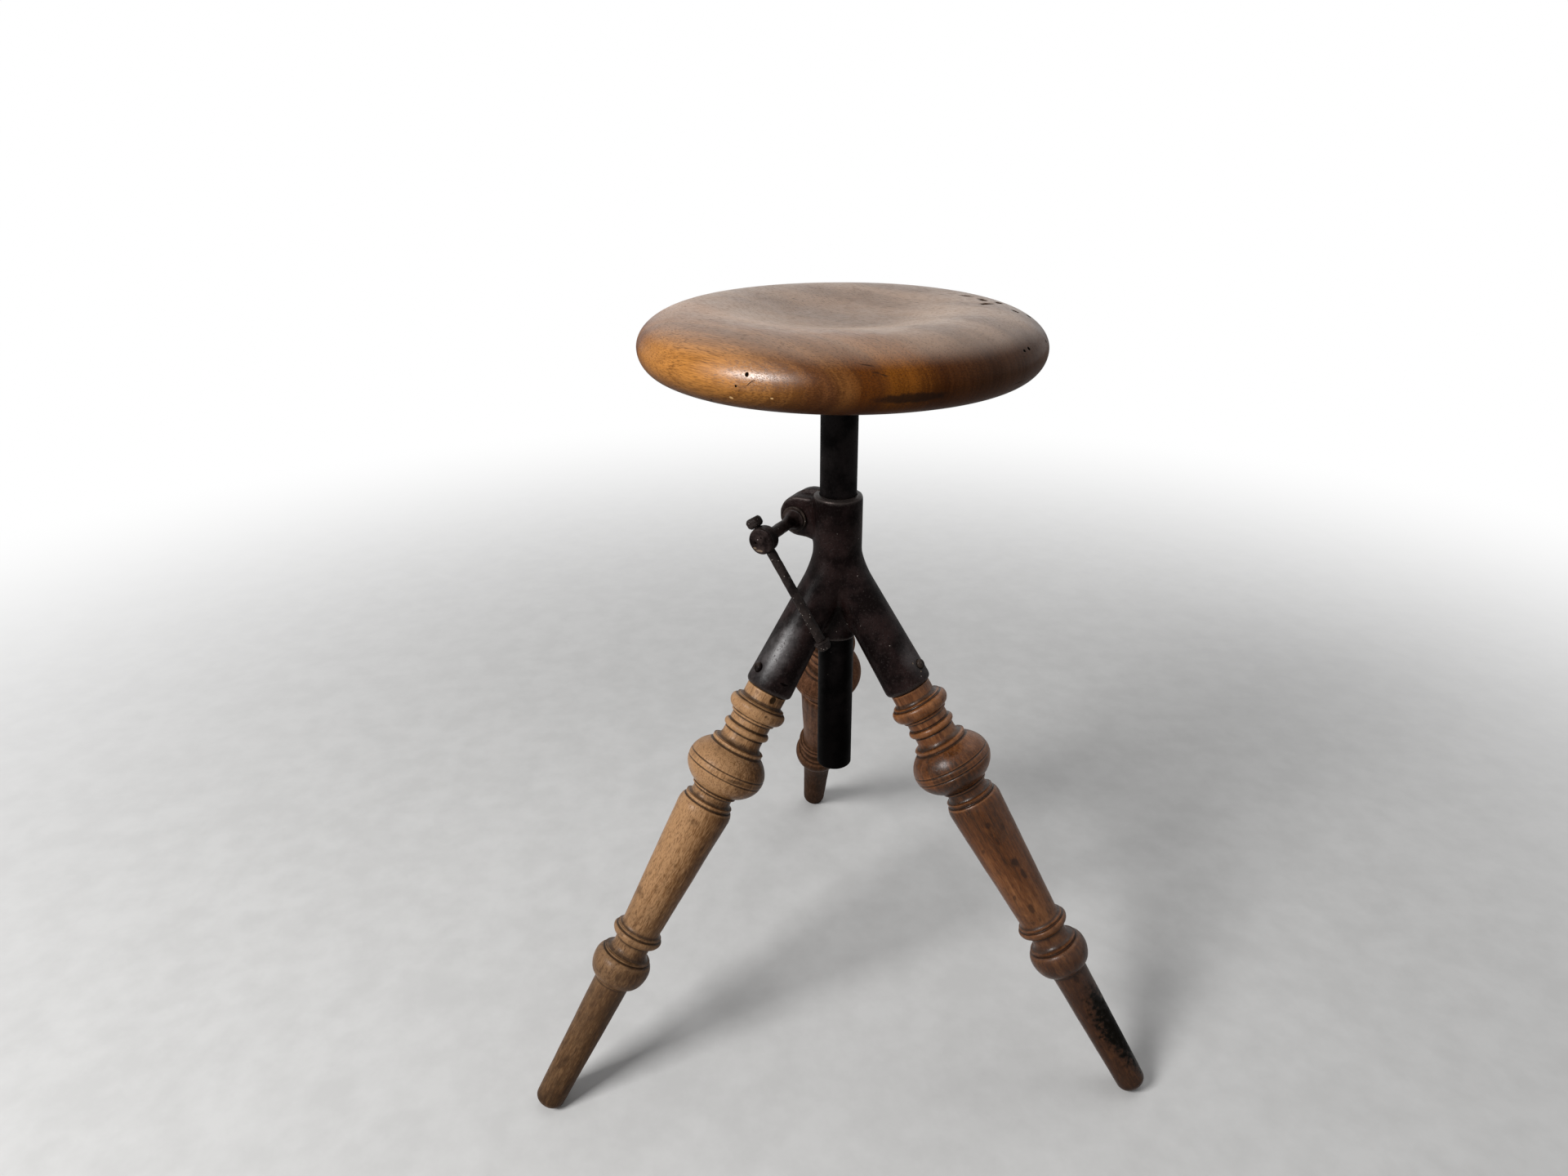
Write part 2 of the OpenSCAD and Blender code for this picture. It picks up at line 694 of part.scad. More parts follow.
function leg_outline(len) =
    let (
        c = shoulder_end + (len - shoulder_end - foot_ring_end) * column_share,
        upper = small_bead_r - neck_r,
        cove_r = neck_r + upper * upper_cove_share,
        bead_foot_r = neck_r + upper * bead_foot_share,
        first_ring_r = neck_r + upper * first_ring_share,
        flare_r = neck_r + upper * flare_share,
        second_ring_r = neck_r + upper * second_ring_share,
        ball_step_r = neck_r + upper * ball_step_share,
        third_ring_r = neck_r + upper * third_ring_share,
        fourth_ring_r = neck_r + upper * fourth_ring_share,
        shoulder_r = neck_r + upper * shoulder_share,
        band_r = ball_r * sqrt(1 - pow(ball_line / ball_half_len, 2)),
        band_start = ball_centre - ball_line,
        band_end = ball_centre + ball_line,
        lower_ring_r = column_foot_r + upper,
        lower_flare_r = column_foot_r + upper * lower_flare_share,
        ball_ring_r = column_foot_r + upper * shoulder_share,
        lower_bead_rise = lower_bead_r - column_foot_r - upper * bead_foot_share,
        lower_ball_rise = lower_ball_r - column_foot_r - upper * lower_ball_foot_share,
        low = column_foot_r - turned_groove,
        foot_ring_r = shaft_top_r + turned_groove
    )
    concat(
        [[neck_r, face_gap], [neck_r, neck_end]],
        cove([neck_r, neck_end], [cove_r, bead_groove - turned_groove]),
        groove(cove_r, bead_groove),
        bead([cove_r, bead_groove + turned_groove], [bead_foot_r, bead_end],
            upper_bead_r - neck_r - upper),
        [[first_ring_r, bead_end], [first_ring_r, first_ring_end], [neck_r, first_ring_end]],
        [[neck_r, small_neck_end - turned_groove]],
        bead([neck_r - turned_groove, small_neck_end], [neck_r - turned_groove, small_bead_end],
            upper + turned_groove, 8),
        [[neck_r, small_bead_end + turned_groove], [neck_r, flare_neck_end]],
        cove([neck_r, flare_neck_end], [flare_r, flare_end]),
        [[second_ring_r, flare_end], [second_ring_r, second_ring_end]],
        [[ball_step_r, second_ring_end], [ball_step_r, ball_start]],
        swell(ball_centre, ball_half_len, ball_r, ball_start, band_start - turned_groove),
        [[band_r - turned_groove, band_start]],
        swell(ball_centre, ball_half_len, ball_r, band_start + turned_groove,
            band_end - turned_groove, 4),
        [[band_r - turned_groove, band_end]],
        swell(ball_centre, ball_half_len, ball_r, band_end + turned_groove, ball_end, 14),
        [[third_ring_r, ball_end], [third_ring_r, third_ring_end]],
        ease([bead_foot_r, third_ring_end], [neck_r, waist]),
        cove([neck_r, waist], [neck_r + upper, waist_end]),
        [[fourth_ring_r, waist_end], [fourth_ring_r, fourth_ring_end]],
        [[neck_r + upper, fourth_ring_end], [neck_r + upper, shoulder_start]],
        ease([shoulder_r, shoulder_start], [column_top_r, shoulder_end]),
        [[column_foot_r, c]],
        cove([column_foot_r, c], [lower_ring_r, c + lower_cove_len]),
        [[lower_ring_r, c + lower_ring_end]],
        [[lower_ring_r - turned_groove, c + lower_ring_end + turned_groove / 2]],
        bead([lower_ring_r, c + lower_ring_end + turned_groove], [low, c + lower_bead_end],
            lower_bead_rise),
        ease([low, c + lower_bead_end], [shaft_top_r, c + lower_fall_end], 4),
        [[shaft_top_r, c + lower_neck_end]],
        cove([shaft_top_r, c + lower_neck_end], [lower_flare_r, c + lower_flare_end]),
        [[ball_ring_r, c + lower_flare_end]],
        [[ball_ring_r, c + lower_ball_start - turned_groove]],
        [[lower_ring_r, c + lower_ball_start]],
        bead([lower_flare_r, c + lower_ball_start], [column_foot_r, c + lower_ball_end],
            lower_ball_rise, 14),
        [[foot_ring_r, c + lower_ball_end], [foot_ring_r, c + foot_ring_end]],
        [[shaft_top_r, c + foot_ring_end]],
        cove([shaft_foot_r, len - foot_round], [shaft_foot_r - foot_round, len], 8),
        [[0, len]]);

// Length of a leg below the mouth, so that its rounded foot reaches the floor and is worn a little
foot_h = foot_round + (shaft_foot_r - foot_round) * sin(leg_tilt) - foot_wear;
leg_len = (apex_h - foot_h) / cos(leg_tilt) - socket_len + foot_round;

module leg(az) {
    color([0.45, 0.28, 0.16]) difference() {
        on_leg(az) translate([0, 0, -socket_len]) {
            turned(concat(
                [[0, tenon_len], [tenon_r - tenon_chamfer, tenon_len]],
                [[tenon_r, tenon_len - tenon_chamfer], [tenon_r, -face_gap]],
                [for (p = leg_outline(leg_len)) [p[0], -p[1]]]));
        }
        on_leg(az) translate([tenon_r + over, 0, leg_screw_back - socket_len]) rotate([0, -90, 0])
            cylinder(r = leg_screw_d / 2 + hold_gap, h = leg_screw_len + over);
        rotate([0, 0, az]) translate([0, -ball_r, -ball_r]) cube([apex_h, 2 * ball_r, ball_r]);
    }
}

module leg_screw(az) {
    seat_x = mouth_r - spot_depth + face_gap;
    color([0.15, 0.13, 0.12]) on_leg(az)
        translate([seat_x, 0, leg_screw_back - socket_len]) rotate([0, 90, 0]) difference() {
            turned(concat(
                [[0, -leg_screw_len], [leg_screw_d / 2, leg_screw_d - leg_screw_len],
                    [leg_screw_d / 2, 0], [leg_screw_head_d / 2, 0]],
                cove([leg_screw_head_d / 2, leg_screw_rim], [leg_screw_flat_r, leg_screw_head_h]),
                [[0, leg_screw_head_h]]));
            translate([0, 0, leg_screw_head_h])
                cube([slot_w, leg_screw_head_d, leg_screw_head_h], center = true);
        }
}

seat();
seat_flange();
flange_screw(0);  // flange_screw_1
flange_screw(1);  // flange_screw_2
flange_screw(2);  // flange_screw_3
flange_screw(3);  // flange_screw_4
swivel_screw();
post();
hub();
clamp_washer();
clamp_screw();
tommy_bar();
bar_knob_upper();
bar_knob_lower();
leg(left_az);  // leg_left
leg(right_az);  // leg_right
leg(back_az);  // leg_back
leg_screw(left_az);  // leg_screw_left
leg_screw(right_az);  // leg_screw_right
leg_screw(back_az);  // leg_screw_back
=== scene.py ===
"""Tripod workshop stool: a dished wooden seat on an iron post, clamped over three turned legs."""

import logging
import math
from collections.abc import Iterable, Sequence
from dataclasses import dataclass
from enum import Enum

import bmesh
import bpy
from bmesh.types import BMesh
from bpy.types import ID, Material, Mesh, Node, NodeSocket as Socket, NodeTree, Object
from mathutils import Matrix, Vector, noise


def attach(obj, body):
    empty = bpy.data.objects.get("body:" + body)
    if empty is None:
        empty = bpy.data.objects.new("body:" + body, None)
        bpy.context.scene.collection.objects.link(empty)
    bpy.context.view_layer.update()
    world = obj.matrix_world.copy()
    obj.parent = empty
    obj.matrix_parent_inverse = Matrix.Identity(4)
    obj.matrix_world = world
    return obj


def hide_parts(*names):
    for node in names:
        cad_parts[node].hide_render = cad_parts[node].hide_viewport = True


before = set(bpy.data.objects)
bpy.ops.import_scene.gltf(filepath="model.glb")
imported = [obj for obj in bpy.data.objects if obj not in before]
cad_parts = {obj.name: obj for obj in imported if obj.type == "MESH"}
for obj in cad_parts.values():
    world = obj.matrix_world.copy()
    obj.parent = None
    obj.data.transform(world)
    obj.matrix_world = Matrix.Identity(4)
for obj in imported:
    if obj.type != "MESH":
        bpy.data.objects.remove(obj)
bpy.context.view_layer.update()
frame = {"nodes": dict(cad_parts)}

LOG = logging.getLogger("stool")
MM = 0.001
APEX = 475.8  # height at which the legs' axes meet, in millimetres
TILT = 33.7  # degrees between a leg and the vertical

Point = tuple[float, float]
Triple = tuple[float, float, float]
Colour = Triple
Size = float | Triple
Value = float | Socket


# Places


def turn(degrees: float, axis: str = "Z") -> Matrix:
    """A turn about an axis."""
    return Matrix.Rotation(math.radians(degrees), 4, axis)


def move(x: float, y: float, z: float) -> Matrix:
    """A move, in the units of what it moves."""
    return Matrix.Translation((x, y, z))


class Side(Enum):
    """Where a leg stands: its name in the model, and its direction in degrees from +X."""

    LEFT = ("left", 210.0)
    RIGHT = ("right", 330.0)
    BACK = ("back", 90.0)

    @property
    def label(self) -> str:
        """The leg's name."""
        return self.value[0]

    @property
    def azimuth(self) -> float:
        """The leg's direction in degrees from +X."""
        return self.value[1]

    @property
    def axis(self) -> Matrix:
        """The leg's own frame in millimetres: its axis runs down along -Z from the apex."""
        return move(0, 0, APEX) @ (turn(self.azimuth) @ turn(-TILT, "Y"))


# Outlines: lists of (radius, height) in millimetres, read along the axis


def part_way(a: Point, b: Point, out: float, along: float) -> Point:
    """The point at those shares of the way from a to b, outwards and along the axis."""
    return a[0] + (b[0] - a[0]) * out, a[1] + (b[1] - a[1]) * along


def quarter(steps: int) -> list[float]:
    """The angles of a quarter turn, in radians."""
    return [math.pi / 2 * i / steps for i in range(steps + 1)]


def cove(a: Point, b: Point, steps: int = 10) -> list[Point]:
    """A quarter of an ellipse that leaves a along the axis and meets b square to it."""
    return [part_way(a, b, 1 - math.cos(t), math.sin(t)) for t in quarter(steps)]


def ease(a: Point, b: Point, steps: int = 10) -> list[Point]:
    """A quarter of an ellipse that leaves a square to the axis and meets b along it."""
    return [part_way(a, b, math.sin(t), 1 - math.cos(t)) for t in quarter(steps)]


def bead(a: Point, b: Point, rise: float, steps: int = 20) -> list[Point]:
    """A rounded bead between two points.

    Args:
        a: The first point.
        b: The last point.
        rise: Height of the bead above the line that joins them.
        steps: Number of steps along it.

    Returns:
        The points of the bead.
    """
    made = []
    for i in range(steps + 1):
        share = (1 - math.cos(math.pi * i / steps)) / 2
        r, z = part_way(a, b, share, share)
        made.append((r + rise * math.sin(math.pi * i / steps), z))
    return made


def soften(points: Sequence[Point], radius: float, least_turn: float = 14.0) -> list[Point]:
    """Rounds the corners of an outline, as sanding and use do.

    Args:
        points: The outline.
        radius: How far from a corner the rounding begins, at most.
        least_turn: Corners that turn less than this many degrees stay.

    Returns:
        The outline with each corner replaced by a short curve.
    """
    kept = [Vector(points[0])]
    for p in points[1:]:
        if (Vector(p) - kept[-1]).length > 0.02:
            kept.append(Vector(p))
    made = [tuple(kept[0])]
    for before, here, after in zip(kept, kept[1:], kept[2:]):
        back, on = before - here, after - here
        if 180 - math.degrees(back.angle(on)) < least_turn:
            made.append(tuple(here))
            continue
        reach = min(radius, 0.45 * back.length, 0.45 * on.length)
        a, b = here + back.normalized() * reach, here + on.normalized() * reach
        for t in (0, 1 / 3, 2 / 3, 1):
            made.append(tuple(a * (1 - t) ** 2 + here * 2 * t * (1 - t) + b * t**2))
    return made + [tuple(kept[-1])]


def fill_in(points: Sequence[Point], gap: float) -> list[Point]:
    """Adds points to an outline so that none lie further apart than a gap.

    Args:
        points: The outline.
        gap: The largest distance left between two points.

    Returns:
        The outline with the added points.
    """
    made = [points[0]]
    for a, b in zip(points, points[1:]):
        parts = max(1, math.ceil((Vector(b) - Vector(a)).length / gap))
        made += [part_way(a, b, i / parts, i / parts) for i in range(1, parts + 1)]
    return made


def radius_at(points: Sequence[Point], height: float) -> float:
    """Reads an outline's radius.

    Args:
        points: The outline, from the top down.
        height: Where it is read.

    Returns:
        The radius at that height, or 0 outside the outline.
    """
    for (r0, z0), (r1, z1) in zip(points, points[1:]):
        if z1 <= height <= z0 and z0 > z1:
            return r0 + (r1 - r0) * (z0 - height) / (z0 - z1)
    return 0.0


# Meshes


def put(bm: BMesh, place: Matrix) -> None:
    """Moves a mesh to a place."""
    bmesh.ops.transform(bm, matrix=place, verts=bm.verts)


def smooth(bm: BMesh, passes: int) -> None:
    """Relaxes a mesh.

    Args:
        bm: The mesh.
        passes: How many times.
    """
    axes = {f"use_axis_{axis}": True for axis in "xyz"}
    for _ in range(passes):
        bmesh.ops.smooth_vert(bm, verts=bm.verts, factor=0.5, **axes)


def turned(
    points: Sequence[Point], segments: int, soft: float = 0.0, gap: float = 0.0, closed: bool = False
) -> BMesh:
    """Spins an outline about the Z axis.

    Args:
        points: The outline in millimetres.
        segments: Number of faces round the axis.
        soft: How far its corners are rounded, if they are.
        gap: The largest distance left between two points, if any are added.
        closed: True for a ring, whose outline ends where it began.

    Returns:
        The turned mesh, with its poles closed and its faces outwards.
    """
    if soft:
        points = soften(points, soft)
    if gap:
        points = fill_in(points, gap)
    bm = bmesh.new()
    verts = [bm.verts.new((max(r, 0.0), 0, z)) for r, z in (points[:-1] if closed else points)]
    edges = [bm.edges.new(pair) for pair in zip(verts, verts[1:])]
    if closed:
        edges.append(bm.edges.new((verts[-1], verts[0])))
    bmesh.ops.spin(
        bm, geom=verts + edges, cent=(0, 0, 0), axis=(0, 0, 1), angle=math.tau, steps=segments, use_merge=True
    )
    bmesh.ops.remove_doubles(bm, verts=bm.verts, dist=1e-4)
    bmesh.ops.recalc_face_normals(bm, faces=bm.faces)
    return bm


def block(size: Triple, place: Matrix) -> BMesh:
    """Makes a box.

    Args:
        size: Its size in millimetres.
        place: The place of its middle.

    Returns:
        The closed mesh.
    """
    bm = bmesh.new()
    bmesh.ops.create_cube(bm, size=1.0, matrix=place @ Matrix.Diagonal((*size, 1)))
    return bm


def rod(
    radius: float, low: float, high: float, place: Matrix, segments: int = 64, end: float | None = None
) -> BMesh:
    """Makes a straight rod or cone along a place's Z axis.

    Args:
        radius: Its radius at the low end.
        low: Where it begins.
        high: Where it ends.
        place: Its place.
        segments: Number of faces round it.
        end: Its radius at the high end, if that differs.

    Returns:
        The closed mesh.
    """
    bm = bmesh.new()
    bmesh.ops.create_cone(
        bm,
        cap_ends=True,
        segments=segments,
        radius1=radius,
        radius2=radius if end is None else end,
        depth=high - low,
        matrix=place @ move(0, 0, (low + high) / 2),
    )
    return bm


def roughen(bm: BMesh, amount: float, grain: float, seed: float) -> None:
    """Moves each vertex a little inwards, as hand work and wear leave a surface.

    Args:
        bm: The mesh, in millimetres.
        amount: The largest move.
        grain: The size of the bumps.
        seed: Shifts the pattern, so that no two pieces are alike.
    """
    bm.normal_update()
    shift = Vector((seed, seed * 1.7, seed * 0.6))
    moves = [(v, v.normal * (noise.noise(v.co / grain + shift) - 0.6) * amount) for v in bm.verts]
    for v, by in moves:
        v.co += by


def mark_hollows(bm: BMesh, passes: int, full: float) -> None:
    """Stores how deep each vertex lies in a hollow, from -1 on an edge to 1 in a groove.

    Args:
        bm: The mesh, in millimetres.
        passes: Number of smoothing passes that the surface is compared with.
        full: Distance from the smoothed surface that counts as 1.
    """
    layer = bm.verts.layers.float.new("hollow")
    bm.normal_update()
    relaxed = bm.copy()
    smooth(relaxed, passes)
    relaxed.verts.ensure_lookup_table()
    for v in bm.verts:
        depth = (relaxed.verts[v.index].co - v.co).dot(v.normal)
        v[layer] = max(-1.0, min(1.0, depth / full))
    relaxed.free()


def mesh_of(name: str, bm: BMesh) -> Mesh:
    """Turns a bmesh into a mesh.

    Args:
        name: The mesh's name.
        bm: The bmesh, which is freed.

    Returns:
        The mesh.
    """
    mesh = bpy.data.meshes.new(name)
    bm.to_mesh(mesh)
    bm.free()
    return mesh


def linked(name: str, data: ID) -> Object:
    """Adds an object to the scene.

    Args:
        name: Its name.
        data: Its mesh, lamp or camera.

    Returns:
        The object.
    """
    made = bpy.data.objects.new(name, data)
    bpy.context.scene.collection.objects.link(made)
    return made


def object_of(name: str, bm: BMesh, place: Matrix | None = None) -> Object:
    """Turns a mesh in millimetres into an object at the origin, in metres.

    Args:
        name: The piece's name.
        bm: The mesh, which is freed.
        place: Where the mesh goes, if it isn't there yet.

    Returns:
        The linked object, smooth shaded.
    """
    if place is not None:
        put(bm, place)
    bmesh.ops.scale(bm, vec=(MM, MM, MM), verts=bm.verts)
    mesh = mesh_of(name, bm)
    mesh.shade_smooth()
    return linked(name, mesh)


def joined(parts: Iterable[BMesh]) -> BMesh:
    """Puts parts together.

    Args:
        parts: The parts, which are freed.

    Returns:
        The mesh that holds them all.
    """
    whole = bmesh.new()
    for part in parts:
        mesh = mesh_of("part", part)
        whole.from_mesh(mesh)
        bpy.data.meshes.remove(mesh)
    return whole


def with_modifier(bm: BMesh, kind: str, **settings: str | float | Object) -> BMesh:
    """Applies a modifier to a mesh.

    Args:
        bm: The mesh, which is freed.
        kind: The modifier's type.
        **settings: The modifier's settings.

    Returns:
        The mesh as the modifier leaves it.
    """
    work = linked("work", mesh_of("work", bm))
    change = work.modifiers.new("change", kind)
    for key, value in settings.items():
        setattr(change, key, value)
    bpy.context.view_layer.update()
    made = bmesh.new()
    made.from_object(work, bpy.context.evaluated_depsgraph_get())
    bpy.data.meshes.remove(work.data)
    return made


def cut(bm: BMesh, *tools: BMesh) -> BMesh:
    """Takes the tools' space out of a mesh.

    Args:
        bm: The mesh, which is freed.
        *tools: The tools, which are freed.

    Returns:
        What is left.
    """
    for tool in tools:
        cutter = linked("tool", mesh_of("tool", tool))
        bm = with_modifier(bm, "BOOLEAN", operation="DIFFERENCE", solver="EXACT", object=cutter)
        bpy.data.meshes.remove(cutter.data)
    return bm


# Materials


class MarkKind(Enum):
    """A kind of mark.

    Its values are its colour, how much it covers, its depth in millimetres, how far it dulls the
    shine (below zero it brightens it), and where it begins to fade: 0 at its middle, 1 at its edge.
    """

    STAIN = ((0.018, 0.009, 0.006), 0.75, 0.0, 0.3, 0.5)
    DENT = ((0.042, 0.022, 0.011), 0.8, 0.7, 0.9, 0.4)
    SCRATCH = ((0.020, 0.011, 0.007), 0.85, 0.3, 0.8, 0.5)
    CHIP = ((0.62, 0.38, 0.17), 0.8, 0.25, 0.5, 0.5)
    HOLE = ((0.004, 0.003, 0.002), 1.0, 1.4, 1.0, 0.6)
    RUST = ((0.30, 0.22, 0.15), 0.8, 0.15, 0.5, 0.4)
    # a painted highlight: a paler band, with its shine also raised
    RUBBED = ((0.060, 0.052, 0.052), 0.55, 0.0, -7.0, 0.0)
    # painted shade: a broad near-black patch
    BLACKENED = ((0.0045, 0.0035, 0.0025), 0.85, 0.0, 0.5, 0.3)
    PIT = ((0.002, 0.001, 0.001), 0.9, 0.5, 0.9, 0.6)
    # a near-black, dull patch: grease on the hub, and painted shade on the post's lower part
    GREASE = ((0.0012, 0.0008, 0.0008), 0.85, 0.0, 0.7, 0.2)
    POLISH = ((1.0, 1.0, 1.0), 0.0, 0.0, 0.0, 0.4)


@dataclass(frozen=True)
class Mark:
    """One mark on a surface.

    Its place is in millimetres, its size is half its extent along each of its own axes, and its
    turn is in degrees about X, Y and Z.
    """

    kind: MarkKind
    place: Triple
    size: Triple
    turn: Triple = (0.0, 0.0, 0.0)
    strength: float = 1.0
    ragged: float = 0.0


class Tree:
    """A node tree and short ways to add to it."""

    def __init__(self, tree: NodeTree) -> None:
        """Empties the tree."""
        self.tree = tree
        tree.nodes.clear()

    def feed(self, socket: Socket, value: Value | Sequence[float]) -> None:
        """Links a socket to another, or gives it a plain value.

        Args:
            socket: The socket.
            value: The other socket, or the value; a colour may leave out its alpha.
        """
        if isinstance(value, Socket):
            self.tree.links.new(value, socket)
        elif socket.type == "RGBA" and len(value) == 3:
            socket.default_value = (*value, 1)
        else:
            socket.default_value = value

    def node(
        self, kind: str, inputs: dict[str | int, Value | Sequence[float]] | None = None, **settings: str
    ) -> Node:
        """Adds a node.

        Args:
            kind: Its type, without the words ShaderNode.
            inputs: What its input sockets get, by name or number.
            **settings: Its own settings.

        Returns:
            The node.
        """
        node = self.tree.nodes.new("ShaderNode" + kind)
        for key, value in settings.items():
            setattr(node, key, value)
        for key, value in (inputs or {}).items():
            self.feed(node.inputs[key], value)
        return node

    def math(self, kind: str, a: Value, b: Value = 0.0) -> Socket:
        """One of the Math node's operations."""
        return self.node("Math", {0: a, 1: b}, operation=kind).outputs[0]

    def times(self, a: Value, b: Value) -> Socket:
        """A product."""
        return self.math("MULTIPLY", a, b)

    def less(self, value: Value, whole: float = 1.0) -> Socket:
        """What a value leaves of a whole."""
        return self.math("SUBTRACT", whole, value)

    def blend(self, *terms: tuple[Value, float]) -> Socket:
        """Adds values up.

        Args:
            *terms: Each value with its weight.

        Returns:
            The sum.
        """
        total = self.times(*terms[0])
        for value, weight in terms[1:]:
            total = self.math("ADD", total, self.times(value, weight))
        return total

    def span(self, value: Value, low: float, high: float, a: float = 0.0, b: float = 1.0) -> Socket:
        """Maps low to high smoothly onto a to b, and stays between them."""
        ends = {"From Min": low, "From Max": high, "To Min": a, "To Max": b}
        return self.node("MapRange", {"Value": value, **ends}, interpolation_type="SMOOTHSTEP").outputs[0]

    def mix(self, amount: Value, a: Socket | Colour, b: Socket | Colour, kind: str = "MIX") -> Socket:
        """Mixes two colours; on this node they are inputs 6 and 7, and output 2."""
        return self.node("Mix", {0: amount, 6: a, 7: b}, data_type="RGBA", blend_type=kind).outputs[2]

    def split(self, vector: Socket) -> Sequence[Socket]:
        """The three parts of a vector."""
        return tuple(self.node("SeparateXYZ", {0: vector}).outputs)

    def away(self, x: Value, y: Value) -> Socket:
        """Distance from the Z axis."""
        return self.math("SQRT", self.math("ADD", self.times(x, x), self.times(y, y)))


class Surface(Tree):
    """A material, with the ways in which wood and iron vary over a piece."""

    def __init__(self, name: str) -> None:
        """Starts the material, with its output and its shader.

        Args:
            name: The material's name.
        """
        self.material = bpy.data.materials.new(name)
        self.material.use_nodes = True
        super().__init__(self.material.node_tree)
        self.skin = self.node("BsdfPrincipled")
        self.out = self.node("OutputMaterial", {"Surface": self.skin.outputs[0]})

    def set(self, **values: Value | Colour) -> None:
        """Sets or links the shader's sockets; an underscore in a name stands for a space."""
        for key, value in values.items():
            self.feed(self.skin.inputs[key.replace("_", " ")], value)

    def shine(self, level: float, varied: Socket) -> None:
        """Sets the shine: a plain level, which the export keeps, under one that varies."""
        for value in (level, varied):
            self.set(Specular_IOR_Level=value)

    def mapped(self, vector: Socket | None = None, kind: str = "POINT", **inputs: Sequence[float]) -> Socket:
        """Moves, turns and scales a vector, or the object coordinates where none is given."""
        vector = self.node("TexCoord").outputs["Object"] if vector is None else vector
        return self.node("Mapping", {"Vector": vector, **inputs}, vector_type=kind).outputs[0]

    def coords(self, place: Matrix | None = None) -> Socket:
        """Object coordinates in millimetres, read in a place's frame if one is given."""
        back = (place or Matrix.Identity(4)).inverted()
        return self.mapped(Rotation=back.to_euler(), Location=back.to_translation(), Scale=(1 / MM,) * 3)

    def stretch(self, vector: Socket, size: Size, shift: float = 0.0) -> Socket:
        """Divides a vector by a size, so that one unit spans it, and shifts it."""
        scale = [1 / s for s in (size if isinstance(size, tuple) else (size,) * 3)]
        return self.mapped(vector, Scale=scale, Location=(shift, shift * 1.7, shift * 0.6))

    def cloud(
        self, vector: Socket, size: Size, shift: float = 0.0, detail: float = 2.0, rough: float = 0.5
    ) -> Socket:
        """A noise from about 0.3 to 0.7.

        Args:
            vector: Coordinates in millimetres.
            size: The size of its shapes along each axis, or along all of them.
            shift: Moves the pattern.
            detail: Number of finer layers.
            rough: Weight of the finer layers.

        Returns:
            The value.
        """
        vector = self.stretch(vector, size, shift)
        inputs = {"Vector": vector, "Scale": 1.0, "Detail": detail, "Roughness": rough}
        return self.node("TexNoise", inputs).outputs["Fac"]

    def cells(self, vector: Socket, size: float, shift: float) -> Socket:
        """Distance to the nearest of scattered points, which lie about a size apart."""
        vector = self.stretch(vector, size, shift)
        return self.node("TexVoronoi", {"Vector": vector, "Scale": 1.0}).outputs["Distance"]

    def own(self, name: str) -> Socket:
        """A value stored on the piece's vertices."""
        return self.node("Attribute", attribute_name=name).outputs["Fac"]

    def ramp(self, value: Socket, stops: Sequence[tuple[float, Colour]]) -> Socket:
        """Turns a value into a colour.

        Args:
            value: The value.
            stops: Where each colour stands, with the colour.

        Returns:
            The colour.
        """
        node = self.node("ValToRGB", {0: value})
        band = node.color_ramp
        while len(band.elements) < len(stops):
            band.elements.new(0.5)
        for element, (at, colour) in zip(band.elements, stops):
            element.position, element.color = at, (*colour, 1)
        return node.outputs[0]

    def relief(self, height: Value, depth: float, under: Socket | None = None) -> Socket:
        """Bumps the surface.

        Args:
            height: 0 to 1.
            depth: The height that 1 stands for, in millimetres.
            under: The relief that this one lies on.

        Returns:
            The normal.
        """
        inputs = {"Height": height, "Distance": depth * MM}
        if under is not None:
            inputs["Normal"] = under
        return self.node("Bump", inputs).outputs[0]

    def patch(self, mark: Mark, tear: Value = 0.5) -> Socket:
        """Finds where a mark is.

        Args:
            mark: The mark.
            tear: A noise about 0.5 that tears the mark's edge, if it is ragged.

        Returns:
            The mark's strength inside it, falling to 0 at its edge.
        """
        inside = self.mapped(
            kind="TEXTURE",
            Location=[c * MM for c in mark.place],
            Rotation=[math.radians(a) for a in mark.turn],
            Scale=[s * MM for s in mark.size],
        )
        away = self.node("VectorMath", {0: inside}, operation="LENGTH").outputs["Value"]
        if mark.ragged:
            away = self.blend((away, 1.0), (tear, mark.ragged), (0.5, -mark.ragged))
        return self.span(away, mark.kind.value[4], 1.0, mark.strength, 0.0)

    def marked(self, colour: Socket, marks: Sequence[Mark]) -> tuple[Socket, Socket | None, Value]:
        """Adds marks to a surface.

        All marks of a kind share one patch, because a material may hold only so many values at once.

        Args:
            colour: The colour that they lie on.
            marks: The marks.

        Returns:
            The colour, the relief that they cut, if they cut any, and what is left of the shine.
        """
        normal, shine = None, 1.0
        tear = self.cloud(self.coords(), 5.0, 3.0, detail=5.0, rough=0.68)
        for kind in MarkKind:
            patches = [self.patch(mark, tear) for mark in marks if mark.kind is kind]
            if not patches:
                continue
            inside = patches[0]
            for other in patches[1:]:
                inside = self.math("MAXIMUM", inside, other)
            tint, cover, depth, dull, _ = kind.value
            colour = self.mix(self.times(inside, cover), colour, tint)
            if depth:
                normal = self.relief(self.less(inside), depth, normal)
            if dull:
                shine = self.times(shine, self.less(self.times(inside, dull)))
        return colour, normal, shine


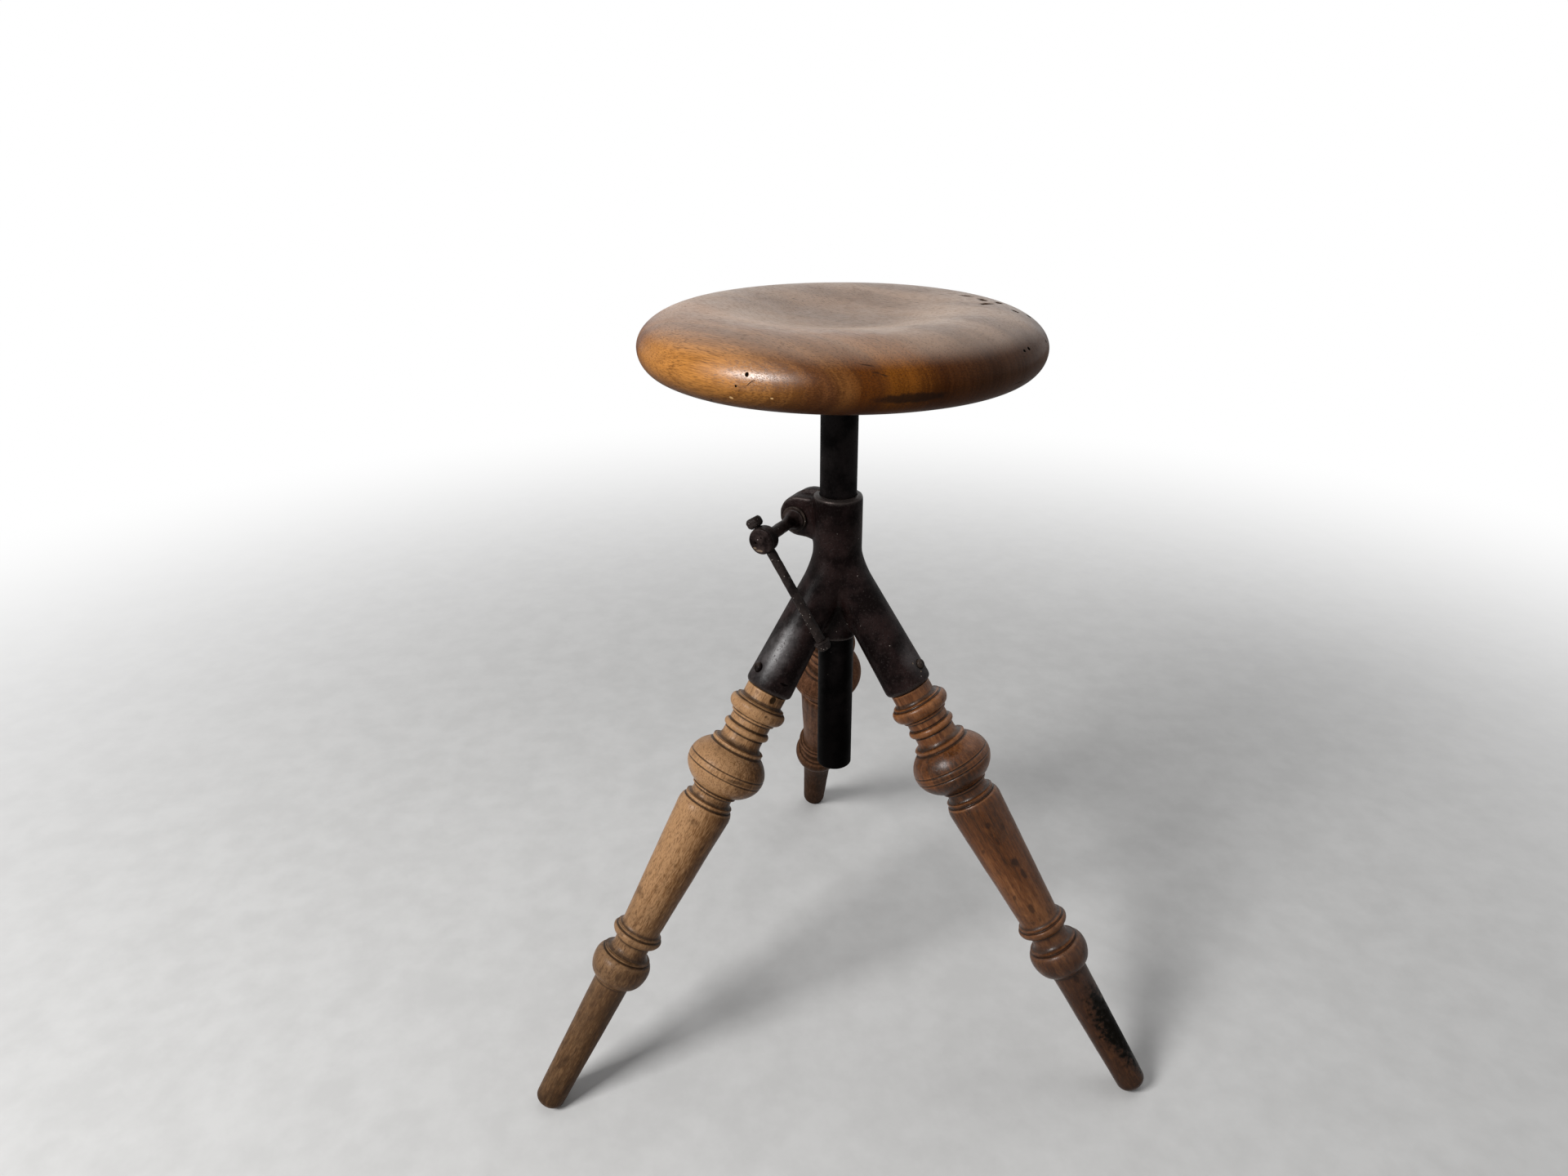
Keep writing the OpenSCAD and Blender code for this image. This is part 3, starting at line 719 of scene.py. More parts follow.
@dataclass(frozen=True)
class Varnish:
    """A worn satin varnish over wood."""

    rough: float = 0.38
    level: float = 0.11
    polished: float = 0.25
    pore_depth: float = 0.06

    def lay(
        self, s: Surface, wood: Socket, pores: Socket, fibre: Socket, marks: Sequence[Mark], polish: Value
    ) -> None:
        """Marks the wood and sets the shader.

        Args:
            s: The material.
            wood: The wood's colour.
            pores: 1 in a pore.
            fibre: The wood's fibres, from about 0.3 to 0.7.
            marks: The marks on the wood.
            polish: 1 where hands and clothes have polished the wood, below zero where it is dull.
        """
        colour, cuts, left = s.marked(wood, marks)
        rub = s.cloud(s.coords(), 16, 2.0, detail=4.0, rough=0.6)
        rough = s.blend((rub, 0.24), (pores, 0.12), (polish, -0.06), (1.0, self.rough - 0.12))
        normal = s.relief(s.blend((fibre, 0.5), (pores, -1.0)), self.pore_depth, cuts)
        s.set(Base_Color=colour, Roughness=rough, Normal=normal)
        s.shine(self.level, s.times(s.blend((polish, self.polished), (1.0, self.level)), left))


@dataclass(frozen=True)
class LegFinish:
    """A leg's wood, with its grain along the leg, dirt in its grooves and wear on its beads.

    Its tone is painted lighter on one side and darker on the other, as painted light and shade.
    The last four fields before the seed are pairs of heights in the leg's frame, in millimetres:
    what each one names is strongest at the first and fades out at the second.
    """

    name: str
    dark: Colour
    middle: Colour
    light: Colour
    fleck: Colour
    flecks: float = 0.25
    clouds: float = 0.7
    streaks: float = 0.6
    fibres: float = 1.0
    blots: float = 0.4
    # painted light and shade: how much the tone is laid higher on the leg's outward side and lower on its
    # inner side; below zero the other way round
    fade: float = 0.0
    dirt: float = 0.82
    grime: Colour = (0.017, 0.009, 0.005)
    wear: float = 0.35
    foot: Colour = (0.048, 0.026, 0.014)
    foot_cover: float = 0.80
    tip: Colour = (0.016, 0.010, 0.007)
    scuffed: Point = (-300.0, -60.0)
    soiled: Point = (-290.0, -125.0)
    blackened: Point = (-400.0, -345.0)
    dulled: Point = (-330.0, -240.0)
    seed: float = 0.0
    marks: tuple[Mark, ...] = ()
    varnish: Varnish = Varnish()

    def timber(self, s: Surface, local: Socket, broad: Socket, fibre: Socket, pores: Socket) -> Socket:
        """Colours the bare wood.

        Args:
            s: The material.
            local: Coordinates in the leg's frame.
            broad: Its wide clouds.
            fibre: Its fibres.
            pores: 1 in a pore.

        Returns:
            The colour.
        """
        streak = s.cloud(local, (3.2, 3.2, 60), self.seed * 7.3, detail=3.0, rough=0.6)
        tone = s.blend((broad, self.clouds), (streak, self.streaks), (fibre, self.fibres))
        # painted light and shade: one side of the leg is laid lighter and the other darker
        across = s.math("DIVIDE", s.split(local)[0], 22.0)
        outward = s.math("MINIMUM", 1.0, s.math("MAXIMUM", -1.0, across))
        even = 0.5 - (self.clouds + self.streaks + self.fibres) / 2
        tone = s.blend((tone, 1.0), (outward, self.fade), (1.0, even))
        colour = s.ramp(tone, [(0.22, self.dark), (0.50, self.middle), (0.78, self.light)])
        return s.mix(s.times(pores, self.flecks), colour, self.fleck)

    def skin(self, place: Matrix) -> Material:
        """Makes the material.

        Args:
            place: The leg's place, in millimetres, with Z up its axis.

        Returns:
            The material.
        """
        s = Surface(self.name)
        local, here, shift = s.coords(place), s.coords(), self.seed * 7.3
        broad = s.cloud(local, (50, 50, 150), shift)
        fibre = s.cloud(local, (0.9, 0.9, 6.5), shift, detail=3.0, rough=0.6)
        dash = s.cloud(local, (0.7, 0.7, 3.6), shift, detail=1.0, rough=0.4)
        pores = s.times(s.span(dash, 0.54, 0.64), s.span(broad, 0.38, 0.55, 0.6, 1.0))
        colour = self.timber(s, local, broad, fibre, pores)
        grime = s.cloud(here, 9, shift, detail=5.0, rough=0.65)
        blot = s.cloud(here, 24, shift + 9, detail=4.0, rough=0.6)
        colour = s.mix(s.span(blot, 0.55, 0.72, 0.0, self.blots), colour, self.dark)
        hollow = s.own("hollow")
        dirt = s.span(s.blend((hollow, 1.0), (grime, 0.7)), 0.60, 1.15, 0.0, self.dirt)
        colour = s.mix(dirt, colour, self.grime)
        worn = s.span(s.blend((hollow, -1.0), (grime, 0.7)), 0.62, 1.25, 0.0, self.wear)
        colour = s.mix(worn, colour, tuple(min(1.0, c * 1.25) for c in self.light))
        low = s.math("ADD", s.split(local)[2], s.times(grime, 90.0))
        scuff = s.cloud(local, (3.0, 3.0, 11.0), shift + 5, detail=5.0, rough=0.7)
        foul = s.span(low, *self.scuffed, 0.75, 0.35)
        colour = s.mix(s.times(s.span(scuff, 0.53, 0.66), foul), colour, self.dark)
        colour = s.mix(s.times(s.span(scuff, 0.33, 0.46, 0.5, 0.0), foul), colour, self.light)
        soiled = s.span(low, *self.soiled, self.foot_cover, 0.0)
        colour = s.mix(s.times(soiled, s.span(scuff, 0.3, 0.6, 0.8, 1.0)), colour, self.foot)
        colour = s.mix(s.span(low, *self.blackened, 0.5, 0.0), colour, self.tip)
        self.varnish.lay(s, colour, pores, fibre, self.marks, s.span(low, *self.dulled, -0.3, 0.0))
        return s.material


@dataclass(frozen=True)
class SeatFinish:
    """The seat's board: bands of honey and walnut that run with the grain.

    Each band has its place across the grain in millimetres. The top's painted sheen and the
    underside's painted shade each fade over a pair of heights.
    """

    name: str
    bands: tuple[tuple[float, Colour], ...]
    fleck: Colour
    # painted sheen: the paler colour laid over the seat's top
    painted_sheen: Colour
    # painted shade: the darker colour laid on the lower rim and under it
    underside: Colour
    marks: tuple[Mark, ...]
    polished: Mark
    dished: Mark
    varnish: Varnish
    # the top band: the painted sheen and the raised shine fade in over these heights
    top_band: Point = (678.0, 694.0)
    # heights over which the painted shade under the rim fades out
    painted_shade_under: Point = (645.0, 670.0)

    def timber(self, s: Surface, local: Socket, broad: Socket, fibre: Socket) -> Socket:
        """Colours the bare wood.

        Args:
            s: The material.
            local: Coordinates in the grain's frame.
            broad: Its wide clouds.
            fibre: Its fibres.

        Returns:
            The colour.
        """
        drift = s.cloud(local, (45, 70, 190), 1.0, detail=3.0, rough=0.55)
        ripple = s.cloud(local, (7, 40, 90), 4.0)
        across = s.blend((s.split(local)[0], 1.0), (drift, 26.0), (ripple, 9.0), (1.0, -17.5))
        low, high = self.bands[0][0], self.bands[-1][0]
        even = s.math("DIVIDE", s.math("SUBTRACT", across, low), high - low)
        colour = s.ramp(even, [((at - low) / (high - low), tint) for at, tint in self.bands])
        rings = s.cloud(local, (2.6, 80, 150), 2.0, detail=3.0, rough=0.6)
        tone = s.blend((rings, 0.9), (broad, 1.1), (fibre, 1.1), (1.0, -1.05))
        stops = [(0.28, (0.50, 0.46, 0.43)), (0.50, (0.80, 0.79, 0.78)), (0.72, (1.0, 1.0, 1.0))]
        shade = s.mix(1.0, s.ramp(tone, stops), (1.25, 1.26, 1.28), "MULTIPLY")
        return s.mix(1.0, colour, shade, "MULTIPLY")

    def skin(self, place: Matrix) -> Material:
        """Makes the material.

        Args:
            place: A frame in millimetres with X across the bands, Y up and Z along the grain.

        Returns:
            The material.
        """
        s = Surface(self.name)
        local = s.coords(place)
        broad = s.cloud(local, (30, 60, 140), 6.0)
        fibre = s.cloud(local, (0.9, 0.9, 16), 3.0, detail=3.0, rough=0.6)
        colour = self.timber(s, local, broad, fibre)
        height = s.split(s.coords())[2]
        # painted sheen: the top is laid paler in patches, most in the dish, and its shine is raised
        top = s.span(height, *self.top_band)
        # how much painted sheen each spot of the top gets
        worn = s.math("ADD", s.span(broad, 0.35, 0.65, 0.30, 0.52), s.times(s.patch(self.dished), 0.32))
        colour = s.mix(s.times(top, worn), colour, self.painted_sheen)
        # painted shade: darker towards the bottom of the rim, where light from above falls away
        colour = s.mix(s.span(height, *self.painted_shade_under, 0.9, 0.0), colour, self.underside)
        pores = s.span(s.cloud(local, (0.55, 0.55, 6.5), 5.0, detail=1.0, rough=0.4), 0.55, 0.66)
        colour = s.mix(s.times(pores, 0.45), colour, self.fleck)
        polish = s.math("MAXIMUM", s.patch(self.polished), s.times(top, 0.45))
        self.varnish.lay(s, colour, pores, fibre, self.marks, polish)
        return s.material


@dataclass(frozen=True)
class IronFinish:
    """Old black iron: pitted, with pale specks and a worn sheen.

    Each rim is a worn ring about the Z axis: its height, its radius and its width.
    """

    name: str
    dark: Colour = (0.0036, 0.0017, 0.0016)
    warm: Colour = (0.0115, 0.0048, 0.0042)
    rubbed: Colour = (0.062, 0.050, 0.046)
    bright: Colour = (0.16, 0.13, 0.115)
    sunk: Colour = (0.0025, 0.0018, 0.0018)
    dust: Colour = (0.34, 0.29, 0.26)
    rough: float = 0.42
    level: float = 0.062
    pit: float = 0.15
    grain: float = 1.7
    specks: float = 0.7
    speck: float = 0.7
    speck_gap: float = 8.0
    marks: tuple[Mark, ...] = ()
    rims: tuple[Triple, ...] = ()

    def worn_rim(self, s: Surface, rim: Triple, cast: Socket) -> Socket:
        """Finds a worn ring.

        Args:
            s: The material.
            rim: Its height, its radius and its width.
            cast: The casting's grain, which breaks the ring up.

        Returns:
            1 on the ring and 0 off it.
        """
        height, radius, width = rim
        x, y, z = s.split(s.coords(move(0, 0, height)))
        beside = s.math("ABSOLUTE", s.math("SUBTRACT", s.away(x, y), radius))
        off = s.math("ADD", beside, s.math("ABSOLUTE", z))
        return s.times(s.span(off, width * 0.3, width, 1.0, 0.0), s.span(cast, 0.36, 0.52))

    def skin(self) -> Material:
        """Makes the material.

        Returns:
            The material.
        """
        s = Surface(self.name)
        here = s.coords()
        coarse = s.cloud(here, 24, 1.0, detail=4.0, rough=0.6)
        cast = s.cloud(here, self.grain, 2.0, detail=3.0, rough=0.6)
        fine = s.cloud(here, 0.5, 3.0, detail=2.0, rough=0.6)
        pits = s.times(s.span(s.cells(here, 2.6, 1.0), 0.10, 0.30, 1.0, 0.0), s.span(coarse, 0.46, 0.60))
        colour = s.mix(s.span(coarse, 0.40, 0.62), self.dark, self.warm)
        colour = s.mix(s.span(cast, 0.52, 0.74, 0.0, 0.25), colour, self.rubbed)
        edge = s.span(s.blend((s.own("hollow"), -1.0), (cast, 0.5)), 0.50, 1.15, 0.0, 0.6)
        colour = s.mix(edge, colour, self.rubbed)
        for rim in self.rims:
            colour = s.mix(s.times(self.worn_rim(s, rim, cast), 0.6), colour, self.bright)
        colour = s.mix(s.times(pits, 0.7), colour, self.sunk)
        reach = self.speck / self.speck_gap
        dust = s.span(s.cells(here, self.speck_gap, 3.0), reach / 2, reach, self.specks, 0.0)
        colour = s.mix(s.times(dust, s.span(coarse, 0.44, 0.54)), colour, self.dust)
        colour, normal, left = s.marked(colour, self.marks)
        for height, depth in ((cast, 1.0), (fine, 0.3), (s.less(pits), 1.8)):
            normal = s.relief(height, self.pit * depth, normal)
        rough = s.blend((coarse, 0.5), (pits, 0.2), (1.0, self.rough - 0.25))
        s.set(Base_Color=colour, Roughness=rough, Normal=normal, Metallic=s.times(edge, 0.8))
        s.shine(self.level, s.times(s.span(coarse, 0.38, 0.62, self.level * 0.6, self.level * 1.6), left))
        return s.material


# The stool


def show(piece: Object, body: str, material: Material, node: str) -> None:
    """Dresses a piece and binds it to the model.

    Args:
        piece: The new piece.
        body: The body that it rides on.
        material: Its material.
        node: The model's node that it stands for.
    """
    piece.data.materials.append(material)
    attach(piece, body)
    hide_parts(node)
    LOG.info("%s: %d faces, on %s", piece.name, len(piece.data.polygons), body)


@dataclass
class Seat:
    """The dished board, the plate that carries it, and their screws."""

    height: float = 695.5
    radius: float = 165.0
    thickness: float = 51.0
    edge: float = 22.0
    top_round: float = 51.0
    bottom_round: float = 24.0
    dish: float = 9.0
    flat: float = 32.0
    plain_under: float = 60.0
    steps: int = 40
    flange_r: float = 52.0
    flange_t: float = 6.0
    flange_top: float = 0.05
    boss: float = 24.0
    boss_r: float = 23.05
    boss_flare: float = 4.0
    bore_r: float = 16.05
    bore_top: float = 0.2
    screw_ring: float = 40.0
    screw_at: tuple[float, ...] = (45, 135, 225, 315)
    screw_turn: float = 37.0
    screw_head: float = 4.5
    screw_r: float = 2.25
    screw_sink: float = 2.6
    screw_taper: float = 21.5
    screw_len: float = 26.0
    screw_slot: Triple = (12.0, 1.1, 2.6)
    screw_clear: float = 0.1
    past: float = 0.01
    swivel_az: float = 90.0
    swivel_r: float = 3.0
    swivel_point: float = 2.0
    swivel_tip: float = 13.9
    swivel_step: float = 16.25
    swivel_end: float = 26.05
    swivel_slot: Triple = (9.0, 1.2, 3.0)
    grain_turn: float = 45.0

    @property
    def under(self) -> float:
        """Height of the board's underside."""
        return self.height - self.thickness

    def flange_hole(self, azimuth: float) -> Matrix:
        """The place of a hole in the flange's lower face."""
        return turn(azimuth) @ move(self.screw_ring, 0, self.under - self.flange_t)

    def board(self) -> Object:
        """Makes the board.

        Returns:
            The board, turned from the middle of its underside to the middle of its dish.
        """
        crown = self.radius - self.top_round
        low = self.height - self.dish
        rim = (self.radius, self.under + self.edge)
        points = [(0.0, self.under), (self.plain_under, self.under)]
        points += ease((self.radius - self.bottom_round, self.under), rim, steps=22)
        points += cove(rim, (crown, self.height), self.steps)[1:]
        for i in reversed(range(self.steps)):
            share = i / self.steps
            rise = self.dish * (1 - math.cos(math.pi * share)) / 2
            points.append((self.flat + (crown - self.flat) * share, low + rise))
        bm = turned(points + [(0.0, low)], segments=224, gap=3.0)
        roughen(bm, amount=0.35, grain=70.0, seed=4.0)
        return object_of("seat_board", bm)

    def flange(self) -> Object:
        """Makes the plate under the seat.

        Returns:
            The plate, with its boss, its bore and its countersunk holes.
        """
        low, flare = self.under - self.flange_t, self.boss_flare
        end, face, roof = low - self.boss, self.under - self.flange_top, self.under - self.bore_top
        points = [(self.bore_r, roof), (self.bore_r, end), (self.boss_r, end), (self.boss_r, low - flare)]
        points += [(self.boss_r + flare, low), (self.flange_r, low), (self.flange_r, face)]
        bm = turned(points + [(0.0, face), (0.0, roof)], segments=128, soft=1.6, gap=4.0)
        wide, narrow = self.screw_head + self.screw_clear, self.screw_r + self.screw_clear
        for azimuth in self.screw_at:
            hole = self.flange_hole(azimuth)
            bm = cut(bm, rod(wide, -self.past, self.screw_sink, hole, segments=40, end=narrow))
        return object_of("seat_flange_plate", bm)

    def flange_screw(self, number: int) -> Object:
        """Makes one countersunk wood screw.

        Args:
            number: Which screw it is, from 1.

        Returns:
            The screw, with its slot.
        """
        r, sink = self.screw_r, self.screw_sink
        points = [(0.0, 0.0), (self.screw_head, 0.0), (r, sink), (r, self.screw_taper), (0.0, self.screw_len)]
        bm = turned(points, segments=40, soft=0.3)
        bm = cut(bm, block(self.screw_slot, turn(self.screw_turn * number)))
        return object_of(f"flange_screw_{number}_head", bm, self.flange_hole(self.screw_at[number - 1]))

    def swivel_screw(self) -> Object:
        """Makes the screw in the boss.

        Returns:
            The slotted screw, whose point runs in the post's groove.
        """
        point, r, tip, end = self.swivel_point, self.swivel_r, self.swivel_tip, self.swivel_end
        points = [(0.0, tip), (point, tip), (point, self.swivel_step), (r, self.swivel_step)]
        bm = turned(points + [(r, end), (0.0, end)], segments=40, soft=0.4, gap=2.0)
        bm = cut(bm, block(self.swivel_slot, move(0, 0, end)))
        height = self.under - self.flange_t - self.boss / 2
        return object_of("swivel_screw_body", bm, move(0, 0, height) @ (turn(self.swivel_az) @ turn(90, "Y")))

    def build(self, wood: SeatFinish, iron: Material, steel: Material) -> None:
        """Builds and dresses the whole seat.

        Args:
            wood: The board's finish.
            iron: The plate's material.
            steel: The screws' material.
        """
        along, up = turn(-self.grain_turn).to_3x3() @ Vector((1, 0, 0)), Vector((0, 0, 1))
        grain = Matrix((up.cross(along), up, along)).transposed().to_4x4()
        show(self.board(), "seat", wood.skin(grain), "seat")
        show(self.flange(), "seat", iron, "seat_flange")
        for number in range(1, 5):
            show(self.flange_screw(number), "seat", steel, f"flange_screw_{number}")
        show(self.swivel_screw(), "seat", steel, "swivel_screw")


@dataclass
class Post:
    """The round iron bar between the seat and the hub."""

    radius: float = 16.0
    top: float = 638.3
    length: float = 373.0
    chamfer: float = 1.5
    groove: float = 2.5
    groove_half: float = 2.5
    groove_at: float = 626.5

    @property
    def low(self) -> float:
        """Height of its lower end."""
        return self.top - self.length

    def build(self, iron: Material) -> None:
        """Builds and dresses the post.

        Args:
            iron: Its material.
        """
        low, r, inner = self.low, self.radius, self.radius - self.groove
        under, over = self.groove_at - self.groove_half, self.groove_at + self.groove_half
        points = [(0.0, low), (r - self.chamfer, low), (r, low + self.chamfer), (r, under), (inner, under)]
        points += [(inner, over), (r, over), (r, self.top - self.chamfer), (r - self.chamfer, self.top)]
        bm = turned(points + [(0.0, self.top)], segments=96, soft=0.7, gap=5.0)
        show(object_of("post_bar", bm), "post", iron, "post")


@dataclass
class Hub:
    """The casting: a split collar with two ears, above three sockets."""

    collar_r: float = 21.55
    collar_top: float = 536.5
    bore_r: float = 16.05
    bend_r: float = 90.0
    bend_tube: float = 19.4
    bend_lap: float = 1.0
    socket: float = 132.0
    socket_taper: float = 0.5
    socket_rim: float = 16.0
    mouth_r: float = 22.0
    mouth_round: float = 3.0
    bottom: float = 402.0
    bottom_r: float = 18.25
    web_r: float = 23.4
    web_drop: float = 20.0
    web_taper: float = 24.0
    ears_az: float = 150.0
    ear_x: float = 32.85
    ear_z: float = 513.5
    ear_r: float = 18.5
    ear_face: float = 12.0
    rear_x: float = 24.05
    rear_r: float = 24.0
    slit: float = 3.0
    slit_end: float = 479.0
    slit_past: float = 8.0
    screw_x: float = 35.55
    screw_z: float = 511.5
    screw_hole: float = 6.05
    screw_reach: float = 20.0
    tenon_bore: float = 17.0
    tenon_deep: float = 69.2
    leg_screw_back: float = 16.0
    leg_screw_hole: float = 4.7
    leg_screw_in: float = 1.2
    leg_screw_reach: float = 12.0
    past: float = 6.0
    voxel: float = 1.15
    draft_voxel: float = 2.2
    relaxing: int = 16

    @property
    def clamp(self) -> Matrix:
        """The clamp's frame: X out along the ears, Y along the screw towards its eye."""
        return move(0, 0, self.screw_z) @ turn(self.ears_az)

    def centre(self) -> BMesh:
        """Makes the collar and the part below it, without their bore.

        Returns:
            The closed mesh.
        """
        web = APEX - self.web_drop
        points = [(0.0, self.bottom), (self.bottom_r, self.bottom), (self.bottom_r, web - self.web_taper)]
        points += [(self.web_r, web), (self.collar_r, APEX)]
        return turned(points + [(self.collar_r, self.collar_top), (0.0, self.collar_top)], segments=96)

    def arm(self, side: Side) -> list[BMesh]:
        """Makes one bend and its socket, without its bore.

        Args:
            side: The leg that it is for.

        Returns:
            The bend and the socket, each closed.
        """
        run = self.bend_r * math.tan(math.radians(TILT / 2))
        bend = bmesh.new()
        bmesh.ops.create_circle(
            bend, cap_ends=True, radius=self.bend_tube, segments=64, matrix=move(0, 0, APEX + run)
        )
        bmesh.ops.spin(
            bend,
            geom=[*bend.verts, *bend.edges, *bend.faces],
            cent=(self.bend_r, 0, APEX + run),
            axis=(0, 1, 0),
            angle=-math.radians(TILT),
            steps=20,
        )
        bmesh.ops.recalc_face_normals(bend, faces=bend.faces)
        put(bend, turn(side.azimuth))
        lip, high = self.mouth_round, self.bend_lap - run
        points = [(0.0, high), (self.bend_tube, high)]
        points += [(self.mouth_r - self.socket_taper, self.socket_rim - self.socket)]
        points += cove((self.mouth_r, lip - self.socket), (self.mouth_r - lip, -self.socket), steps=8)
        tube = turned(points + [(0.0, -self.socket)], segments=96)
        put(tube, side.axis)
        return [bend, tube]

    def ears(self) -> list[BMesh]:
        """Makes both ears as one lump, which the slit then parts.

        Returns:
            The front ear, the web behind it and the rear ear, each closed.
        """
        out, lie, face = turn(self.ears_az), turn(90, "X"), self.ear_face
        front = rod(self.ear_r, -face, face, out @ move(self.ear_x, 0, self.ear_z) @ lie, segments=72)
        rear = out @ move(self.rear_x, 0, self.collar_top - self.rear_r) @ lie
        web = block((self.ear_x, 2 * face, 2 * self.ear_r), out @ move(self.ear_x / 2, 0, self.ear_z))
        return [front, web, rod(self.rear_r, 0, face, rear, segments=72)]

    def holes(self) -> list[BMesh]:
        """Makes the tools that cut the holes.

        Returns:
            The tools for the post's bore, the slit, the clamp screw's hole, and each socket's bore
            and screw hole.
        """
        high = self.collar_top + self.past
        tools = [rod(self.bore_r, self.bottom - self.past, high, Matrix.Identity(4), segments=128)]
        reach, high = self.ear_x + self.ear_r + self.slit_past, high - self.slit_end
        slit = move(reach / 2, 0, self.slit_end + high / 2)
        tools.append(block((reach, self.slit, high), turn(self.ears_az) @ slit))
        through, mouth = self.clamp @ move(self.screw_x, 0, 0) @ turn(90, "X"), -self.socket
        tools.append(rod(self.screw_hole, -self.screw_reach, self.screw_reach, through))
        for side in Side:
            low, deep = mouth - self.past, mouth + self.tenon_deep
            tools.append(rod(self.tenon_bore, low, deep, side.axis, segments=96))
            spot = side.axis @ move(self.mouth_r - self.leg_screw_in, 0, mouth + self.leg_screw_back)
            tools.append(rod(self.leg_screw_hole, 0, self.leg_screw_reach, spot @ turn(90, "Y"), segments=40))
        return tools

    def build(self, iron: Material) -> None:
        """Builds and dresses the hub, with its valleys and edges rounded and its holes cut.

        Args:
            iron: Its material.
        """
        parts = [self.centre(), *self.ears()]
        for side in Side:
            parts += self.arm(side)
        voxel = self.voxel
        bm = with_modifier(joined(parts), "REMESH", mode="VOXEL", voxel_size=voxel, adaptivity=0.0)
        smooth(bm, self.relaxing)
        bm = cut(bm, *self.holes())
        mark_hollows(bm, passes=8, full=0.30)
        show(object_of("hub_casting", bm), "stand", iron, "hub")


